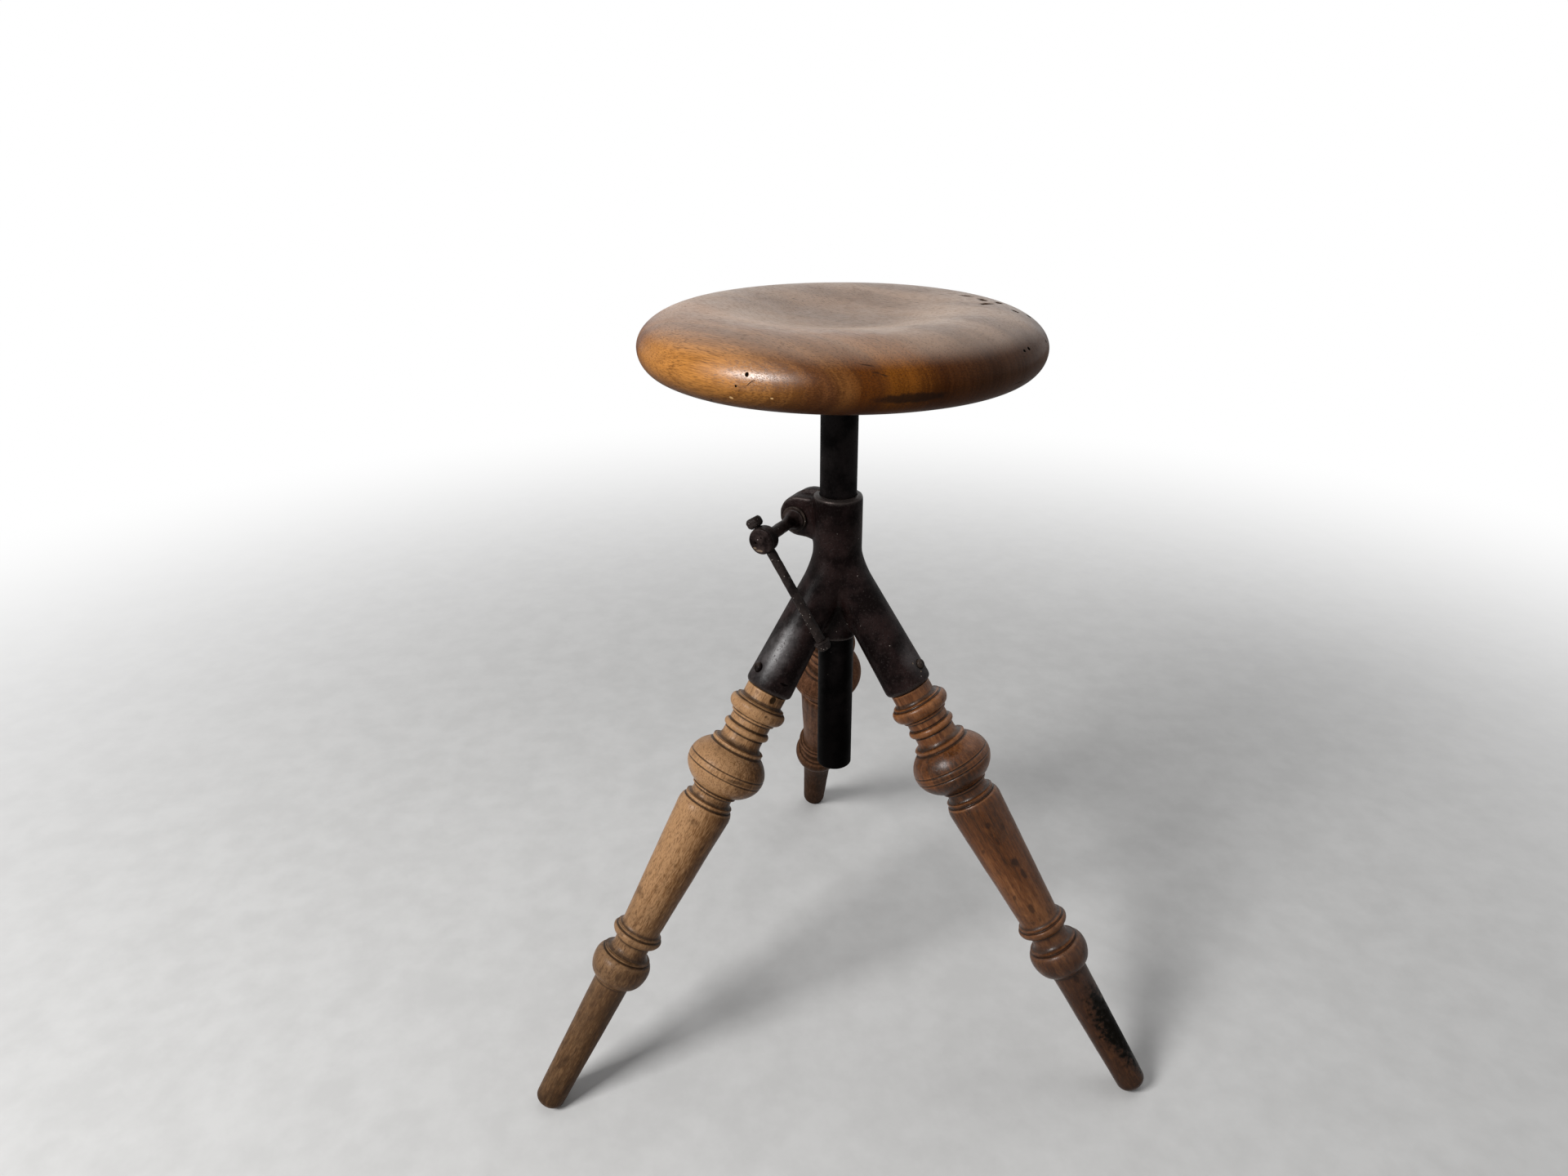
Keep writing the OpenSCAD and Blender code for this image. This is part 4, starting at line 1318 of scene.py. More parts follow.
@dataclass
class ClampScrew:
    """The clamp screw, its washer, and the loose bar with its two knobs."""

    frame: Matrix
    x: float = Hub.screw_x
    face: float = Hub.ear_face
    gap: float = 0.2
    washer_r: float = 11.5
    washer_t: float = 2.5
    shoulder_r: float = 9.75
    shoulder_rim: float = 1.5
    shoulder_len: float = 16.0
    shank_r: float = 6.0
    tail: float = 4.0
    chamfer: float = 1.5
    neck_r: float = 5.5
    eye_r: float = 11.5
    eye_len: float = 13.0
    eye_back: float = 2.5
    eye_front: float = 1.6
    eye_y: float = 68.0
    bar_r: float = 4.25
    bar_gap: float = 0.05
    bar_tilt: float = 56.7
    bar_clear: float = 110.0
    spigot_r: float = 2.5
    spigot_up: float = 6.8
    spigot_down: float = 6.3
    knob_r: float = 7.5
    knob_len: float = 9.0
    knob_flat: float = 2.2
    knob_face: float = 0.72
    knob_sides: int = 8
    knob_bevel: float = 0.9
    knob_ridge: float = 20.0
    knob_gap: float = 1.6
    low_knob_r: float = 7.25
    low_knob_len: float = 8.5
    low_knob_rim: float = 2.0

    @property
    def along(self) -> Matrix:
        """The screw's frame, with Z towards its eye."""
        return self.frame @ move(self.x, 0, 0) @ turn(-90, "X")

    @property
    def at_bar(self) -> Matrix:
        """The bar's frame: its origin in the eye, Z up towards the upper knob."""
        return self.frame @ move(self.x, self.eye_y, 0) @ turn(90 - self.bar_tilt, "Y")

    @property
    def rest(self) -> float:
        """Where the upper knob stands on the bar."""
        return self.eye_r + self.gap

    def washer(self) -> Object:
        """Makes the washer.

        Returns:
            The washer, in front of the front ear.
        """
        near = self.face + self.gap
        far, inner = near + self.washer_t, self.shank_r + self.gap
        points = [(inner, near), (self.washer_r, near), (self.washer_r, far), (inner, far), (inner, near)]
        bm = turned(points, segments=72, soft=0.7, closed=True)
        return object_of("clamp_washer_ring", bm, self.along)

    def screw(self) -> Object:
        """Makes the screw.

        Returns:
            The screw: its shank, shoulder, neck and eye.
        """
        start, end = self.face + self.washer_t + 2 * self.gap, -self.face - self.tail
        back, front = self.eye_y - self.eye_len / 2, self.eye_y + self.eye_len / 2
        points = [(0.0, end), (self.shank_r - self.chamfer, end), (self.shank_r, self.chamfer + end)]
        points += [(self.shank_r, start), (self.shoulder_r, start)]
        neck = (self.neck_r, start + self.shoulder_len)
        points += ease((self.shoulder_r, start + self.shoulder_rim), neck, steps=14) + [(self.neck_r, back)]
        points += ease((self.eye_r - self.eye_back, back), (self.eye_r, back + self.eye_back), steps=6)
        points += cove((self.eye_r, front - self.eye_front), (self.eye_r - self.eye_front, front), steps=6)
        bm = turned(points + [(0.0, front)], segments=80, soft=1.0, gap=1.6)
        put(bm, self.along)
        roughen(bm, amount=0.28, grain=6.0, seed=2.0)
        reach = 2 * self.eye_r
        bm = cut(bm, rod(self.bar_r + self.bar_gap, -reach, reach, self.at_bar, segments=48))
        mark_hollows(bm, passes=6, full=0.25)
        return object_of("clamp_screw_forging", bm)

    def bar(self) -> Object:
        """Makes the loose bar.

        Returns:
            The bar, with the ends that the knobs sit on.
        """
        high, low, r = self.rest, self.rest - self.bar_clear, self.spigot_r
        foot, head = low - self.spigot_down, high + self.spigot_up
        points = [(0.0, foot), (r, foot), (r, low), (self.bar_r, low), (self.bar_r, high)]
        bm = turned(points + [(r, high), (r, head), (0.0, head)], segments=40, soft=0.4, gap=1.5)
        roughen(bm, amount=0.22, grain=5.0, seed=7.0)
        return object_of("tommy_bar_rod", bm, self.at_bar)

    def upper_knob(self) -> Object:
        """Makes the upper knob.

        Returns:
            The knob, with its hammered flats.
        """
        r, face, flat = self.knob_r, self.knob_r * self.knob_face, self.knob_flat
        points = [(0.0, 0.0), (face, 0.0), (r, flat), (r, self.knob_len - flat), (face, self.knob_len)]
        bm = turned(points + [(0.0, self.knob_len)], self.knob_sides)
        ridge = math.radians(self.knob_ridge)
        sharp = [e for e in bm.edges if len(e.link_faces) == 2 and e.calc_face_angle(0) > ridge]
        bmesh.ops.bevel(
            bm,
            geom=sharp,
            offset=self.knob_bevel,
            offset_type="OFFSET",
            segments=3,
            profile=0.5,
            affect="EDGES",
            material=-1,
            clamp_overlap=True,
        )
        long = [e for e in bm.edges if e.calc_length() > self.knob_gap]
        bmesh.ops.subdivide_edges(bm, edges=long, cuts=3, use_grid_fill=True)
        bmesh.ops.triangulate(bm, faces=bm.faces)
        roughen(bm, amount=0.35, grain=3.5, seed=3.0)
        return object_of("bar_knob_upper_forging", bm, self.at_bar @ move(0, 0, self.rest))

    def lower_knob(self) -> Object:
        """Makes the lower knob.

        Returns:
            The knob: a rounded end behind a flat rim.
        """
        r, rim, end = self.low_knob_r, -self.low_knob_rim, -self.low_knob_len
        points = [(0.0, 0.0), (r, 0.0), (r, rim)] + cove((r * 0.9, rim), (r * 0.4, end), steps=12)
        bm = turned(points + [(0.0, end)], segments=48, soft=0.6, gap=0.9)
        roughen(bm, amount=0.3, grain=4.0, seed=5.0)
        return object_of("bar_knob_lower_forging", bm, self.at_bar @ move(0, 0, self.rest - self.bar_clear))

    def build(self, iron: Material, bar_iron: Material, steel: Material) -> None:
        """Builds and dresses the clamp's moving pieces.

        Args:
            iron: The screw's material.
            bar_iron: The bar's and its knobs' material.
            steel: The washer's material.
        """
        show(self.washer(), "clamp_washer", steel, "clamp_washer")
        show(self.screw(), "clamp_screw", iron, "clamp_screw")
        show(self.bar(), "tommy_bar", bar_iron, "tommy_bar")
        show(self.upper_knob(), "tommy_bar", bar_iron, "bar_knob_upper")
        show(self.lower_knob(), "tommy_bar", bar_iron, "bar_knob_lower")


@dataclass
class Leg:
    """A turned leg in its socket, and the screw that holds it.

    Its members are named from the socket down: a bead, a fillet, a ring, a lip, a ball with two
    cut lines, a shoulder, the column, then below the column a bead, a waist, a lip, a ball and the
    shaft. Fields that end in from, to or at are depths below the mouth, and from low_cove_to on
    they are depths below the column. Each of the hollows has the reach over which a groove is
    looked for, and the depth that counts as a full one.
    """

    side: Side
    wood: LegFinish
    socket: float = Hub.socket
    tenon_r: float = 16.9
    tenon: float = 68.93
    tenon_chamfer: float = 2.0
    mouth_gap: float = 0.2
    neck: float = 18.9
    groove: float = 0.8
    small_bead: float = 21.8
    cove_from: float = 9.2
    bead_r: float = 26.5
    bead_from: float = 13.4
    bead_to: float = 26.5
    fillet_to: float = 28.9
    ring_from: float = 36.6
    ring_to: float = 43.8
    lip_from: float = 49.0
    lip_at: float = 55.4
    lip_to: float = 58.4
    ball: float = 36.6
    ball_half: float = 26.8
    ball_from: float = 59.2
    ball_at: float = 79.2
    ball_to: float = 101.4
    ball_line: float = 3.3
    neck_from: float = 103.2
    neck_to: float = 107.4
    shoulder_from: float = 112.0
    shoulder_to: float = 115.0
    column_from: float = 124.0
    column_top: float = 25.4
    column_foot: float = 18.6
    column_share: float = 0.475
    low_bead_r: float = 24.0
    low_cove_to: float = 5.0
    low_bead_from: float = 6.4
    low_bead_to: float = 16.0
    waist_from: float = 19.5
    waist_to: float = 22.5
    low_lip_at: float = 29.6
    low_ball: float = 26.4
    low_ball_from: float = 31.8
    low_ball_to: float = 57.6
    shaft_from: float = 60.0
    shaft_top: float = 16.8
    shaft_foot: float = 13.4
    foot_round: float = 8.0
    foot_wear: float = 0.6
    screw_out: float = 21.0
    screw_back: float = Hub.leg_screw_back
    screw_r: float = 2.5
    screw_taper: float = 13.0
    screw_len: float = 18.0
    screw_head: float = 4.5
    screw_rim: float = 1.2
    screw_top: Point = (1.25, 3.6)
    screw_slot: Triple = (9.0, 1.3, 2.6)
    slot_turn: float = 25.0
    soft: float = 0.55
    gap: float = 2.4
    segments: int = 96
    hollows: tuple[Point, ...] = ((1.5, 0.6), (5.0, 12.0))

    @property
    def place(self) -> Matrix:
        """The leg's frame: Z runs up its axis, and zero is at the socket's mouth."""
        return self.side.axis @ move(0, 0, -self.socket)

    @property
    def column_len(self) -> float:
        """Length of the column, which shares what the turned members leave with the shaft."""
        return (self.length - (self.column_from + self.shaft_from)) * self.column_share

    @property
    def length(self) -> float:
        """Finds the length below the mouth that brings the worn foot to the floor.

        Returns:
            The length in millimetres.
        """
        tilt = math.radians(TILT)
        foot = self.foot_round + (self.shaft_foot - self.foot_round) * math.sin(tilt) - self.foot_wear
        return (APEX - foot) / math.cos(tilt) - self.socket + self.foot_round

    def ball_part(self, start: float, end: float, steps: int = 24) -> list[Point]:
        """Part of the upper ball's outline, between two depths."""
        depths = [start + (end - start) * i / steps for i in range(steps + 1)]
        return [(self.ball * math.sqrt(1 - ((z - self.ball_at) / self.ball_half) ** 2), z) for z in depths]

    def upper_turning(self) -> list[Point]:
        """Draws the turned members from the socket to the column's shoulder.

        Returns:
            Their outline, as (radius, depth below the mouth).
        """
        n, up, g = self.neck, self.small_bead - self.neck, self.groove
        start, rise = n + up * 1.4, self.bead_from
        points = [(n, self.mouth_gap), (n, self.cove_from)] + cove((n, self.cove_from), (start, rise - g))
        points += [(start - g, rise), (start, rise + g)]
        points += bead((start, rise + g), (n + up * 0.6, self.bead_to), self.bead_r - n - up)
        points += [(n + up * 0.7, self.bead_to), (n + up * 0.7, self.fillet_to), (n, self.fillet_to)]
        points.append((n, self.ring_from - g))
        points += bead((n - g, self.ring_from), (n - g, self.ring_to), up + g, steps=14)
        points += [(n, self.ring_to + g), (n, self.lip_from)]
        points += cove((n, self.lip_from), (n + up * 1.75, self.lip_at))
        points += [(n + up * 1.95, self.lip_at), (n + up * 1.95, self.lip_to)]
        points += [(n + up * 1.7, self.lip_to), (n + up * 1.7, self.ball_from)]
        middle, line = self.ball_at, self.ball_line
        cut_r = self.ball * math.sqrt(1 - (line / self.ball_half) ** 2) - g
        points += self.ball_part(self.ball_from, middle - line - g) + [(cut_r, middle - line)]
        points += self.ball_part(middle - line + g, middle + line - g, steps=6) + [(cut_r, middle + line)]
        points += self.ball_part(middle + line + g, self.ball_to)
        points += [(n + up * 0.8, self.ball_to), (n + up * 0.8, self.neck_from)]
        points += ease((n + up * 0.6, self.neck_from), (n, self.neck_to))
        points += cove((n, self.neck_to), (n + up, self.shoulder_from))
        points += [(n + up * 1.25, self.shoulder_from), (n + up * 1.25, self.shoulder_to)]
        points += [(n + up, self.shoulder_to), (n + up, self.shoulder_to + g)]
        return points + ease((n + up * 1.3, self.shoulder_to + g), (self.column_top, self.column_from))

    def lower_turning(self) -> list[Point]:
        """Draws the turned members from the column's thin end to the foot.

        Returns:
            Their outline, as (radius, depth below the mouth).
        """
        up, g, f, waist = self.small_bead - self.neck, self.groove, self.column_foot, self.shaft_top
        c = self.column_from + self.column_len
        start = c + self.low_bead_from
        points = [(f, c)] + cove((f, c), (f + up, c + self.low_cove_to))
        points += [(f + up, start), (f + up - g, start + g / 2)]
        points += bead((f + up, start + g), (f - g, c + self.low_bead_to), self.low_bead_r - f - up * 0.6)
        points += ease((f - g, c + self.low_bead_to), (waist, c + self.waist_from), steps=6)
        points += [(waist, c + self.waist_to)]
        points += cove((waist, c + self.waist_to), (f + up * 1.2, c + self.low_lip_at))
        points += [(f + up * 1.3, c + self.low_lip_at), (f + up * 1.3, c + self.low_ball_from - g)]
        start, end = c + self.low_ball_from, c + self.low_ball_to
        points += [(f + up, start)]
        points += bead((f + up * 1.2, start), (f, end), self.low_ball - f - up * 0.5, steps=28)
        points += [(waist + g, end), (waist + g, c + self.shaft_from), (waist, c + self.shaft_from)]
        end, r = self.length, self.shaft_foot
        return points + cove((r, end - self.foot_round), (r - self.foot_round, end), steps=12) + [(0.0, end)]

    def outline(self) -> list[Point]:
        """Draws the whole leg.

        Returns:
            Its outline, from the top of the tenon to the foot.
        """
        r, top, chamfer = self.tenon_r, self.tenon, self.tenon_chamfer
        tenon = [(0.0, top), (r - chamfer, top), (r, top - chamfer), (r, self.mouth_gap)]
        below = [(r, -depth) for r, depth in self.upper_turning() + self.lower_turning()]
        return fill_in(soften(tenon + below, self.soft), self.gap)

    def timber(self) -> Object:
        """Makes the leg.

        Returns:
            The leg, with the depth of each groove stored on it for its dirt and wear.
        """
        points, rows = self.outline(), {}
        for r, z in points:
            sunk = 0.0
            for reach, full in self.hollows:
                beside = (radius_at(points, z - reach) + radius_at(points, z + reach)) / 2
                sunk += (beside - r) / full
            rows[round(z, 3)] = max(-1.0, min(1.0, sunk))
        bm = turned(points, self.segments)
        layer = bm.verts.layers.float.new("hollow")
        for v in bm.verts:
            v[layer] = rows.get(round(v.co.z, 3), 0.0)
        roughen(bm, amount=0.30, grain=28.0, seed=self.wood.seed)
        roughen(bm, amount=0.10, grain=7.0, seed=self.wood.seed + 3)
        put(bm, self.place)
        whole = [*bm.verts, *bm.edges, *bm.faces]
        bmesh.ops.bisect_plane(bm, geom=whole, plane_co=(0, 0, 0), plane_no=(0, 0, -1), clear_outer=True)
        bmesh.ops.holes_fill(bm, edges=[e for e in bm.edges if e.is_boundary], sides=0)
        return object_of(f"leg_{self.side.label}_timber", bm)

    def screw(self) -> Object:
        """Makes the round-headed screw in the socket.

        Returns:
            The screw, with its slot.
        """
        r, head, crown = self.screw_r, self.screw_head, self.screw_top[1]
        points = [(0.0, -self.screw_len), (r, -self.screw_taper), (r, 0.0), (head, 0.0)]
        points += cove((head, self.screw_rim), self.screw_top, steps=8) + [(0.0, crown)]
        slot = move(0, 0, crown) @ turn(self.slot_turn + self.side.azimuth)
        bm = cut(turned(points, segments=40, soft=0.35, gap=1.0), block(self.screw_slot, slot))
        place = self.place @ move(self.screw_out, 0, self.screw_back) @ turn(90, "Y")
        return object_of(f"leg_screw_{self.side.label}_head", bm, place)

    def build(self, steel: Material) -> None:
        """Builds and dresses the leg and its screw.

        Args:
            steel: The screw's material.
        """
        label = self.side.label
        show(self.timber(), "stand", self.wood.skin(self.place), f"leg_{label}")
        show(self.screw(), "stand", steel, f"leg_screw_{label}")


# The studio


@dataclass
class Studio:
    """The floor, the light and the camera.

    Each lamp has its name, its direction from the stool and its height in degrees, its distance
    and its size in metres, and its power in watts.
    """

    lens: float = 24.956
    sensor: float = 36.0
    eye: Triple = (-0.073515, -0.883197, 0.846157)
    yaw: float = 1.709
    pitch: float = 24.237
    roll: float = 0.3126
    aim: Triple = (0.0, 0.0, 0.45)
    lamps: tuple[tuple[str, float, float, float, float, float], ...] = (
        ("key", -127.0, 33.0, 2.4, 0.9, 60.0),
        ("wall", 62.0, 52.0, 2.6, 1.8, 9.0),
        ("top", 10.0, 80.0, 2.2, 1.8, 6.0),
    )
    room: Colour = (0.97, 0.98, 1.0)
    room_level: float = 0.22
    floor_r: float = 9000.0
    floor_tones: tuple[Colour, Colour] = ((0.59, 0.585, 0.575), (0.64, 0.635, 0.625))
    fade: Point = (550.0, 2200.0)

    def camera(self) -> None:
        """Places the camera where the photograph was taken from."""
        yaw, pitch, roll = (math.radians(a) for a in (self.yaw, self.pitch, self.roll))
        ahead = Vector((math.sin(yaw) * math.cos(pitch), math.cos(yaw) * math.cos(pitch), -math.sin(pitch)))
        right = Vector((math.cos(yaw), -math.sin(yaw), 0))
        down = ahead.cross(right)
        level = right * math.cos(roll) + down * math.sin(roll)
        up = right * math.sin(roll) - down * math.cos(roll)
        data = bpy.data.cameras.new("camera")
        data.sensor_fit, data.sensor_width, data.lens = "HORIZONTAL", self.sensor, self.lens
        data.clip_start, data.clip_end = 0.05, 50.0
        camera = linked("camera", data)
        camera.matrix_world = move(*self.eye) @ Matrix((level, up, -ahead)).transposed().to_4x4()
        bpy.context.scene.camera = camera

    def lights(self) -> None:
        """Hangs the soft lamps round the stool."""
        for name, azimuth, height, away, size, power in self.lamps:
            a, e = math.radians(azimuth), math.radians(height)
            ray = Vector((math.sin(a) * math.cos(e), math.cos(a) * math.cos(e), math.sin(e)))
            data = bpy.data.lights.new(name, "AREA")
            data.shape, data.size, data.size_y, data.energy = "RECTANGLE", size, size * 0.8, power
            lamp = linked(name, data)
            lamp.location = Vector(self.aim) + ray * away
            lamp.rotation_mode = "QUATERNION"
            lamp.rotation_quaternion = ray.to_track_quat("Z", "Y")
            lamp.visible_camera = False

    def world(self) -> None:
        """Lights the room plainly, and makes it white where the camera, metal and glass see it."""
        world = bpy.data.worlds.new("room")
        world.use_nodes = True
        bpy.context.scene.world = world
        tree = Tree(world.node_tree)
        path = tree.node("LightPath")
        seen = path.outputs["Is Camera Ray"]
        for other in ("Is Glossy Ray", "Is Transmission Ray"):
            seen = tree.math("MAXIMUM", seen, path.outputs[other])
        room = tree.node("Background", {"Color": self.room, "Strength": self.room_level})
        white = tree.node("Background", {"Color": (1, 1, 1), "Strength": 1.0})
        pick = tree.node("MixShader", {0: seen, 1: room.outputs[0], 2: white.outputs[0]})
        tree.node("OutputWorld", {"Surface": pick.outputs[0]})

    def floor(self) -> None:
        """Lays a pale floor that fades into the white beyond the stool."""
        bm = bmesh.new()
        bmesh.ops.create_circle(bm, cap_ends=True, radius=self.floor_r, segments=96)
        floor = object_of("floor", bm)
        s = Surface("pale_floor")
        x, y, _ = s.split(s.coords())
        speck = s.cloud(s.coords(), 40, 1.0, detail=5.0, rough=0.6)
        tone = s.ramp(speck, list(zip((0.35, 0.65), self.floor_tones)))
        s.set(Base_Color=tone, Roughness=0.75, Specular_IOR_Level=0.2)
        far = s.times(s.span(s.away(x, y), *self.fade), s.node("LightPath").outputs["Is Camera Ray"])
        pick = s.node("MixShader", {0: far, 1: s.skin.outputs[0], 2: s.node("Emission").outputs[0]})
        s.feed(s.out.inputs["Surface"], pick.outputs[0])
        floor.data.materials.append(s.material)

    def build(self) -> None:
        """Sets up the whole studio."""
        self.camera()
        self.lights()
        self.world()
        self.floor()
        bpy.context.scene.view_settings.view_transform = "Standard"


# The finishes, with each mark where it lies on the stool


def marks(kind: MarkKind, *rows: tuple[Triple | float, ...]) -> tuple[Mark, ...]:
    """Several marks of one kind, each row with its place, its size and the rest."""
    return tuple(Mark(kind, *row) for row in rows)


SEAT_BANDS = (
    (-160.0, (0.37, 0.155, 0.036)),
    (-149.0, (0.30, 0.125, 0.030)),
    (-137.0, (0.135, 0.050, 0.015)),
    (-130.0, (0.100, 0.037, 0.013)),
    (-124.0, (0.155, 0.060, 0.016)),
    (-113.0, (0.098, 0.028, 0.004)),
    (-104.0, (0.085, 0.026, 0.005)),
    (-97.0, (0.165, 0.053, 0.006)),
    (-79.0, (0.155, 0.050, 0.007)),
    (-66.0, (0.075, 0.023, 0.005)),
    (-25.0, (0.066, 0.027, 0.012)),
    (40.0, (0.080, 0.038, 0.020)),
    (110.0, (0.075, 0.036, 0.019)),
    (170.0, (0.11, 0.055, 0.028)),
)
SEAT_WOOD = SeatFinish(
    "seat_wood",
    SEAT_BANDS,
    fleck=(0.020, 0.010, 0.006),
    # painted sheen on the seat's top
    painted_sheen=(0.48, 0.325, 0.22),
    # painted shade under the rim
    underside=(0.034, 0.009, 0.001),
    marks=(
        *marks(
            MarkKind.HOLE,
            ((-76.1, -144.2, 674.1), (1.6, 1.6, 1.9)),
            ((-83.9, -141.9, 665.5), (1.0, 1.0, 1.0)),
            ((-101.9, -119.4, 650.2), (1.0, 1.0, 1.0)),
            ((130.1, -93.4, 678.7), (2.2, 2.2, 1.5)),
            ((125.3, -99.6, 678.5), (1.9, 1.9, 1.2)),
            ((153.0, -53.9, 675.8), (1.9, 1.9, 1.3)),
        ),
        *marks(
            MarkKind.SCRATCH,
            ((5.0, -156.7, 682.2), (7.0, 1.5, 0.45), (0, 8, -7), 0.8, 0.4),
            ((16.3, -161.0, 676.3), (3.8, 1.5, 0.5), (0, 16, -4), 0.9, 0.4),
            ((10.8, -160.4, 677.9), (3.4, 1.5, 0.45), (0, 7, -2), 0.8, 0.4),
            ((-74.3, -146.6, 668.5), (5.2, 1.2, 0.45), (0, -42, -28)),
            ((-72.5, -146.9, 669.0), (4.4, 1.2, 0.3), (0, -44, -28), 0.7),
            ((121.0, -107.0, 657.8), (15.0, 2.0, 0.8), (0, 0, 49), 1.0, 0.6),
            ((95.0, 51.5, 695.0), (16.0, 0.8, 1.5), (0, 0, 7), 0.8, 0.4),
        ),
        *marks(
            MarkKind.CHIP,
            ((-87.6, -136.4, 656.1), (2.4, 1.6, 1.4), (0, 0, 0), 1.0, 0.5),
            ((-59.4, -152.4, 659.2), (1.6, 1.2, 1.0), (0, 0, 0), 1.0, 0.5),
        ),
        *marks(
            MarkKind.STAIN,
            # a dark ragged band below the rim's widest line at the front
            ((36.0, -159.5, 660.0), (36.0, 8.0, 4.6), (0, 0, 13), 1.1, 0.9),
            ((-34.9, 61.3, 690.6), (3.5, 1.0, 2.0), (0, 0, -30), 0.8, 0.4),
            ((26.5, 99.1, 695.1), (3.0, 1.4, 2.0), (0, 0, -20), 0.7, 0.4),
        ),
        *marks(
            MarkKind.DENT,
            ((108.0, 40.0, 695.4), (9.0, 3.6, 3.0), (0, 0, -40), 1.3, 1.4),
            ((117.5, 20.0, 695.3), (4.2, 9.0, 3.0), (0, 0, 15), 1.3, 1.4),
            ((117.0, 0.5, 695.3), (8.5, 5.0, 3.0), (0, 0, 35), 1.3, 1.5),
            ((129.5, 13.0, 694.0), (4.0, 8.0, 3.0), (0, 0, -25), 1.3, 1.4),
            ((136.5, -17.0, 692.2), (4.0, 6.0, 2.5), (0, 0, 30), 1.3, 1.1),
            ((148.4, -13.5, 687.6), (3.0, 7.0, 3.0), (0, 0, -10), 1.3, 1.1),
        ),
    ),
    polished=Mark(MarkKind.POLISH, (-76.0, -144.0, 673.5), (58.0, 40.0, 13.0), (0, 0, -28)),
    # where the painted sheen on the top is strongest
    dished=Mark(MarkKind.POLISH, (0.0, -25.0, 690.0), (120.0, 95.0, 60.0)),
    varnish=Varnish(0.36, 0.04, 0.52, 0.05),
)
LEG_WOODS = {
    Side.LEFT: LegFinish(
        "leg_wood_left",
        dark=(0.056, 0.022, 0.006),
        middle=(0.178, 0.083, 0.030),
        light=(0.35, 0.195, 0.092),
        fleck=(0.080, 0.028, 0.008),
        flecks=0.55,
        streaks=0.8,
        blots=0.6,
        # painted light: the outward side, towards the key lamp, laid lighter
        fade=0.30,
        seed=1.0,
        varnish=Varnish(0.34, 0.13),
        marks=(
            Mark(MarkKind.HOLE, (-58.6, -55.2, 365.4), (3.4, 3.0, 5.0), (0, 30, 0), 0.9, 0.8),
            *marks(
                MarkKind.STAIN,
                ((-53.0, -51.5, 363.0), (7.0, 5.0, 5.0), (0, 0, 0), 0.6, 0.8),
                ((-65.4, -66.8, 355.7), (1.6, 1.6, 1.4), (0, 0, 0), 0.8, 0.5),
                ((-93.0, -93.6, 306.6), (13.0, 3.0, 2.4), (0, 24, 0), 0.8, 1.3),
                ((-254.0, -155.4, 51.8), (5.0, 3.0, 16.0), (0, 33, 0), 0.6, 0.9),
            ),
        ),
    ),
    Side.RIGHT: LegFinish(
        "leg_wood_right",
        dark=(0.028, 0.010, 0.003),
        middle=(0.112, 0.036, 0.009),
        light=(0.24, 0.097, 0.034),
        fleck=(0.026, 0.011, 0.005),
        flecks=0.22,
        clouds=1.2,
        streaks=0.7,
        fibres=0.45,
        foot=(0.026, 0.011, 0.006),
        foot_cover=0.88,
        seed=6.0,
        # painted shade: the outward side, away from the key lamp, laid a little darker
        fade=-0.05,
        varnish=Varnish(0.29, 0.23, 0.35),
        marks=(
            *marks(
                # painted shade on the foot's outward side, away from the key lamp
                MarkKind.BLACKENED,
                ((256.0, -146.0, 62.0), (22.0, 28.0, 66.0), (0, -33, 0), 1.8, 1.7),
                ((236.0, -144.0, 92.0), (10.0, 15.0, 24.0), (0, -33, 0), 1.5, 1.6),
            ),
            *marks(
                MarkKind.STAIN,
                ((212.4, -137.6, 115.6), (3.0, 3.0, 6.0), (0, -33, 0), 1.0, 1.0),
                ((129.5, -98.3, 258.5), (3.2, 3.0, 4.2), (0, 0, 0), 0.9, 0.6),
                ((143.3, -96.2, 255.6), (2.8, 3.0, 4.6), (0, 0, 0), 0.7, 0.8),
                ((154.5, -106.7, 224.1), (4.2, 4.0, 6.0), (0, -30, 0), 1.1, 0.7),
                ((163.0, -109.0, 213.0), (3.2, 4.0, 7.0), (0, -30, 0), 0.9, 0.8),
                ((170.1, -118.5, 181.2), (3.4, 4.0, 6.5), (0, -30, 0), 0.9, 0.8),
                ((126.8, -99.9, 231.3), (2.0, 3.0, 3.0), (0, 0, 0), 0.7, 0.5),
                ((155.2, -113.1, 189.1), (2.2, 3.0, 4.0), (0, 0, 0), 0.7, 0.6),
                ((137.8, -102.1, 244.3), (1.6, 2.0, 7.0), (0, -30, 0), 0.8, 0.6),
            ),
        ),
    ),
    Side.BACK: LegFinish(
        "leg_wood_back",
        dark=(0.022, 0.010, 0.005),
        middle=(0.105, 0.046, 0.024),
        light=(0.20, 0.098, 0.052),
        fleck=(0.020, 0.009, 0.005),
        flecks=0.25,
        fibres=0.5,
        foot=(0.022, 0.011, 0.006),
        seed=11.0,
        varnish=Varnish(0.36, 0.02, 0.05),
    ),
}
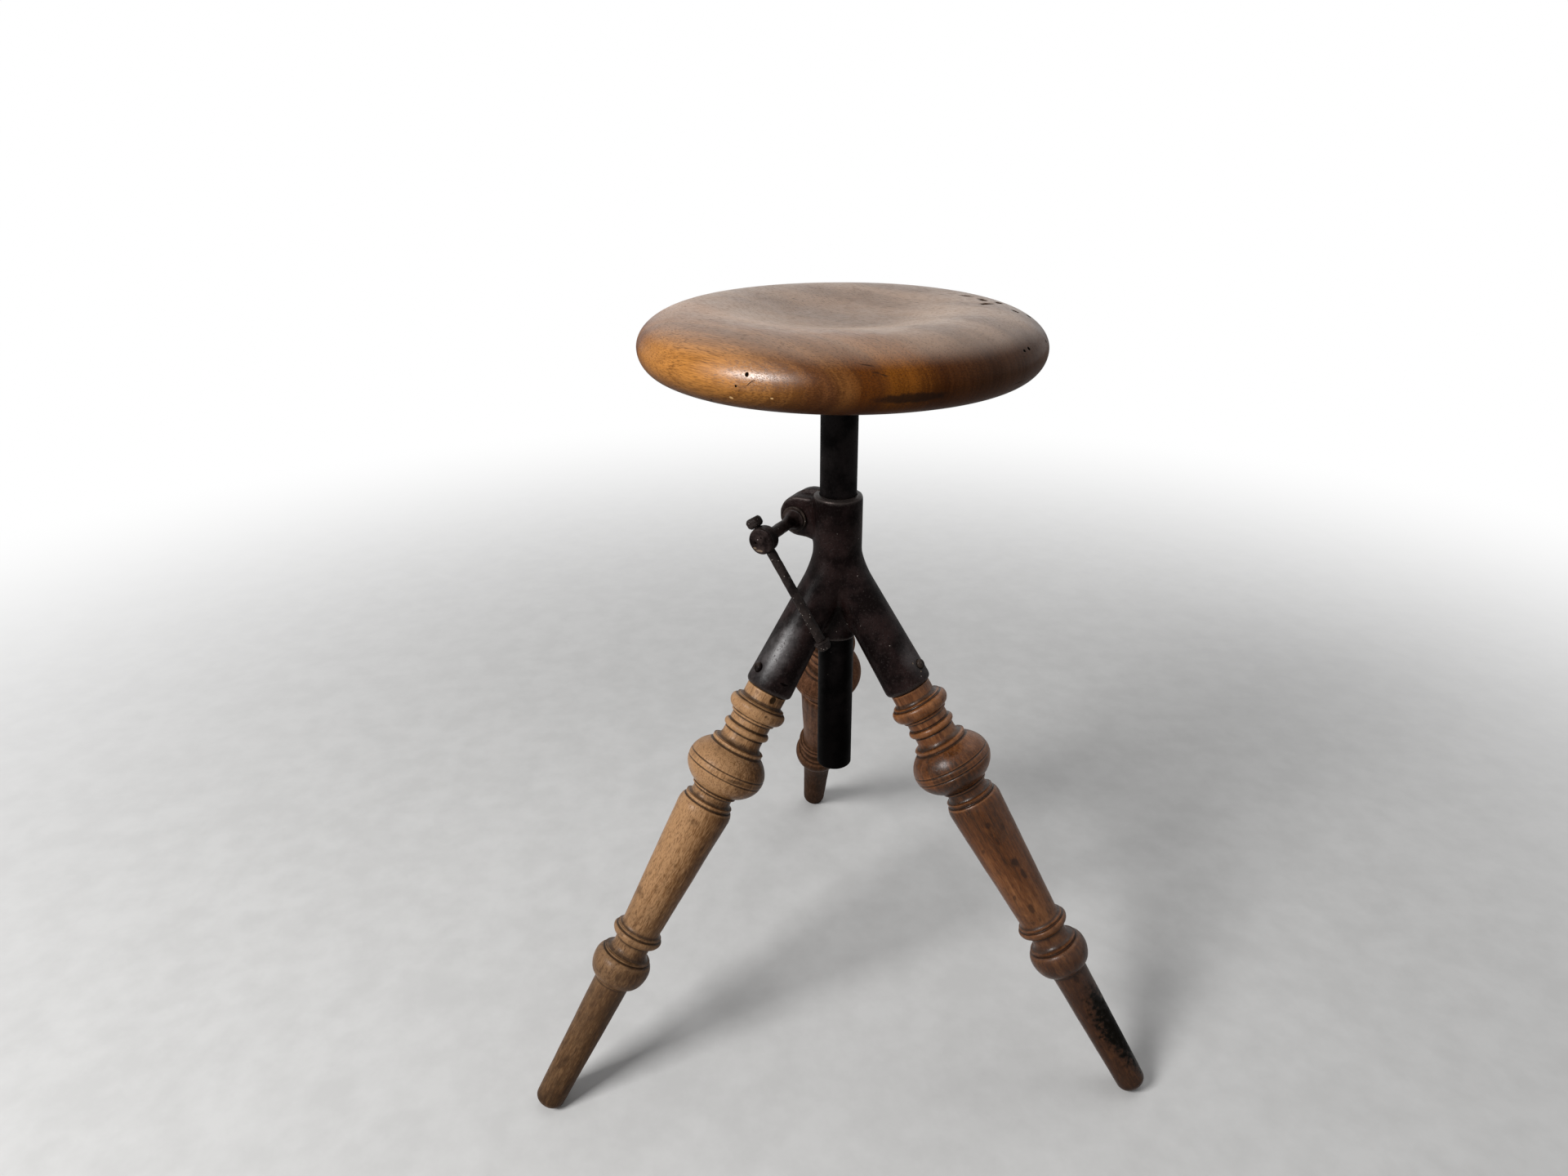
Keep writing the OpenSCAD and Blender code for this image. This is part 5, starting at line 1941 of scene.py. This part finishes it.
HUB_MARKS = (
    # painted highlights on the sockets' lit flanks, with their shine raised
    *marks(
        MarkKind.RUBBED,
        ((-54.0, -42.0, 406.0), (16.0, 26.0, 44.0), (0, 33, 0), 1.0, 0.7),
        ((62.0, -46.0, 398.0), (10.0, 18.0, 26.0), (0, -33, 0), 0.35, 0.8),
    ),
    *marks(
        MarkKind.RUST,
        ((64.2, -45.8, 394.6), (1.0, 1.0, 1.6), (0, 0, 0), 0.9, 0.8),
        ((71.7, -46.3, 386.6), (1.2, 1.2, 1.0), (0, 0, 0), 0.8, 0.8),
    ),
    Mark(MarkKind.PIT, (-49.2, -53.0, 379.4), (5.0, 4.0, 1.3), (0, 33, 0), 1.0, 0.6),
    Mark(MarkKind.GREASE, (4.0, -22.0, 516.0), (26.0, 16.0, 24.0), (0, 0, 0), 0.55, 1.0),
)
CLAMP_MARKS = (
    *marks(
        MarkKind.RUST,
        ((-68.7, -46.3, 503.4), (4.6, 4.0, 1.5), (0, 0, 0), 0.6, 1.4),
        ((-72.6, -44.2, 505.0), (2.2, 3.0, 1.2), (0, 0, 0), 0.55, 1.2),
    ),
    *marks(
        MarkKind.PIT,
        ((-72.0, -44.4, 509.7), (1.4, 1.4, 1.4)),
        ((-67.5, -47.0, 515.0), (0.9, 0.9, 0.9)),
    ),
)
PLATE_IRON = IronFinish("plate_iron", pit=0.08, rough=0.46)
CLAMP_IRON = IronFinish("clamp_iron", warm=(0.030, 0.019, 0.017), pit=0.09, marks=CLAMP_MARKS)
SCREW_STEEL = IronFinish("screw_iron", warm=(0.040, 0.028, 0.022), pit=0.05, grain=0.9, rough=0.40)
BAR_IRON = IronFinish(
    "bar_iron",
    dark=(0.0050, 0.0036, 0.0034),
    warm=(0.0170, 0.0115, 0.0100),
    pit=0.20,
    grain=1.3,
    specks=0.9,
    speck=0.5,
    speck_gap=2.8,
    rough=0.50,
)


def hub_finish(hub: Hub) -> IronFinish:
    """The casting's iron, with the collar's rim worn."""
    return IronFinish("hub_iron", rims=((hub.collar_top - 0.6, hub.collar_r - 0.6, 0.8),), marks=HUB_MARKS)


def post_finish(post: Post) -> IronFinish:
    """Makes the post's iron.

    Args:
        post: The post.

    Returns:
        The finish, nearly black, with painted shade laid near black over its lower part, and worn
        round the post's lower end.
    """
    return IronFinish(
        "post_iron",
        dark=(0.0020, 0.0014, 0.0014),
        warm=(0.0055, 0.0035, 0.0034),
        rubbed=(0.020, 0.018, 0.017),
        rough=0.46,
        level=0.04,
        pit=0.07,
        specks=0.3,
        # painted shade: the post's lower part laid near black
        marks=(Mark(MarkKind.GREASE, (0.0, 0.0, 285.0), (60.0, 60.0, 150.0)),),
        rims=((post.low + 0.8, post.radius - 0.8, 1.4),),
    )


def main() -> None:
    logging.basicConfig(level=logging.INFO, format="%(name)s: %(message)s")
    Studio().build()
    hub, post, steel = Hub(), Post(), SCREW_STEEL.skin()
    Seat().build(SEAT_WOOD, PLATE_IRON.skin(), steel)
    post.build(post_finish(post).skin())
    hub.build(hub_finish(hub).skin())
    ClampScrew(hub.clamp).build(CLAMP_IRON.skin(), BAR_IRON.skin(), steel)
    for side, wood in LEG_WOODS.items():
        Leg(side, wood).build(steel)


if __name__ == "__main__":
    main()
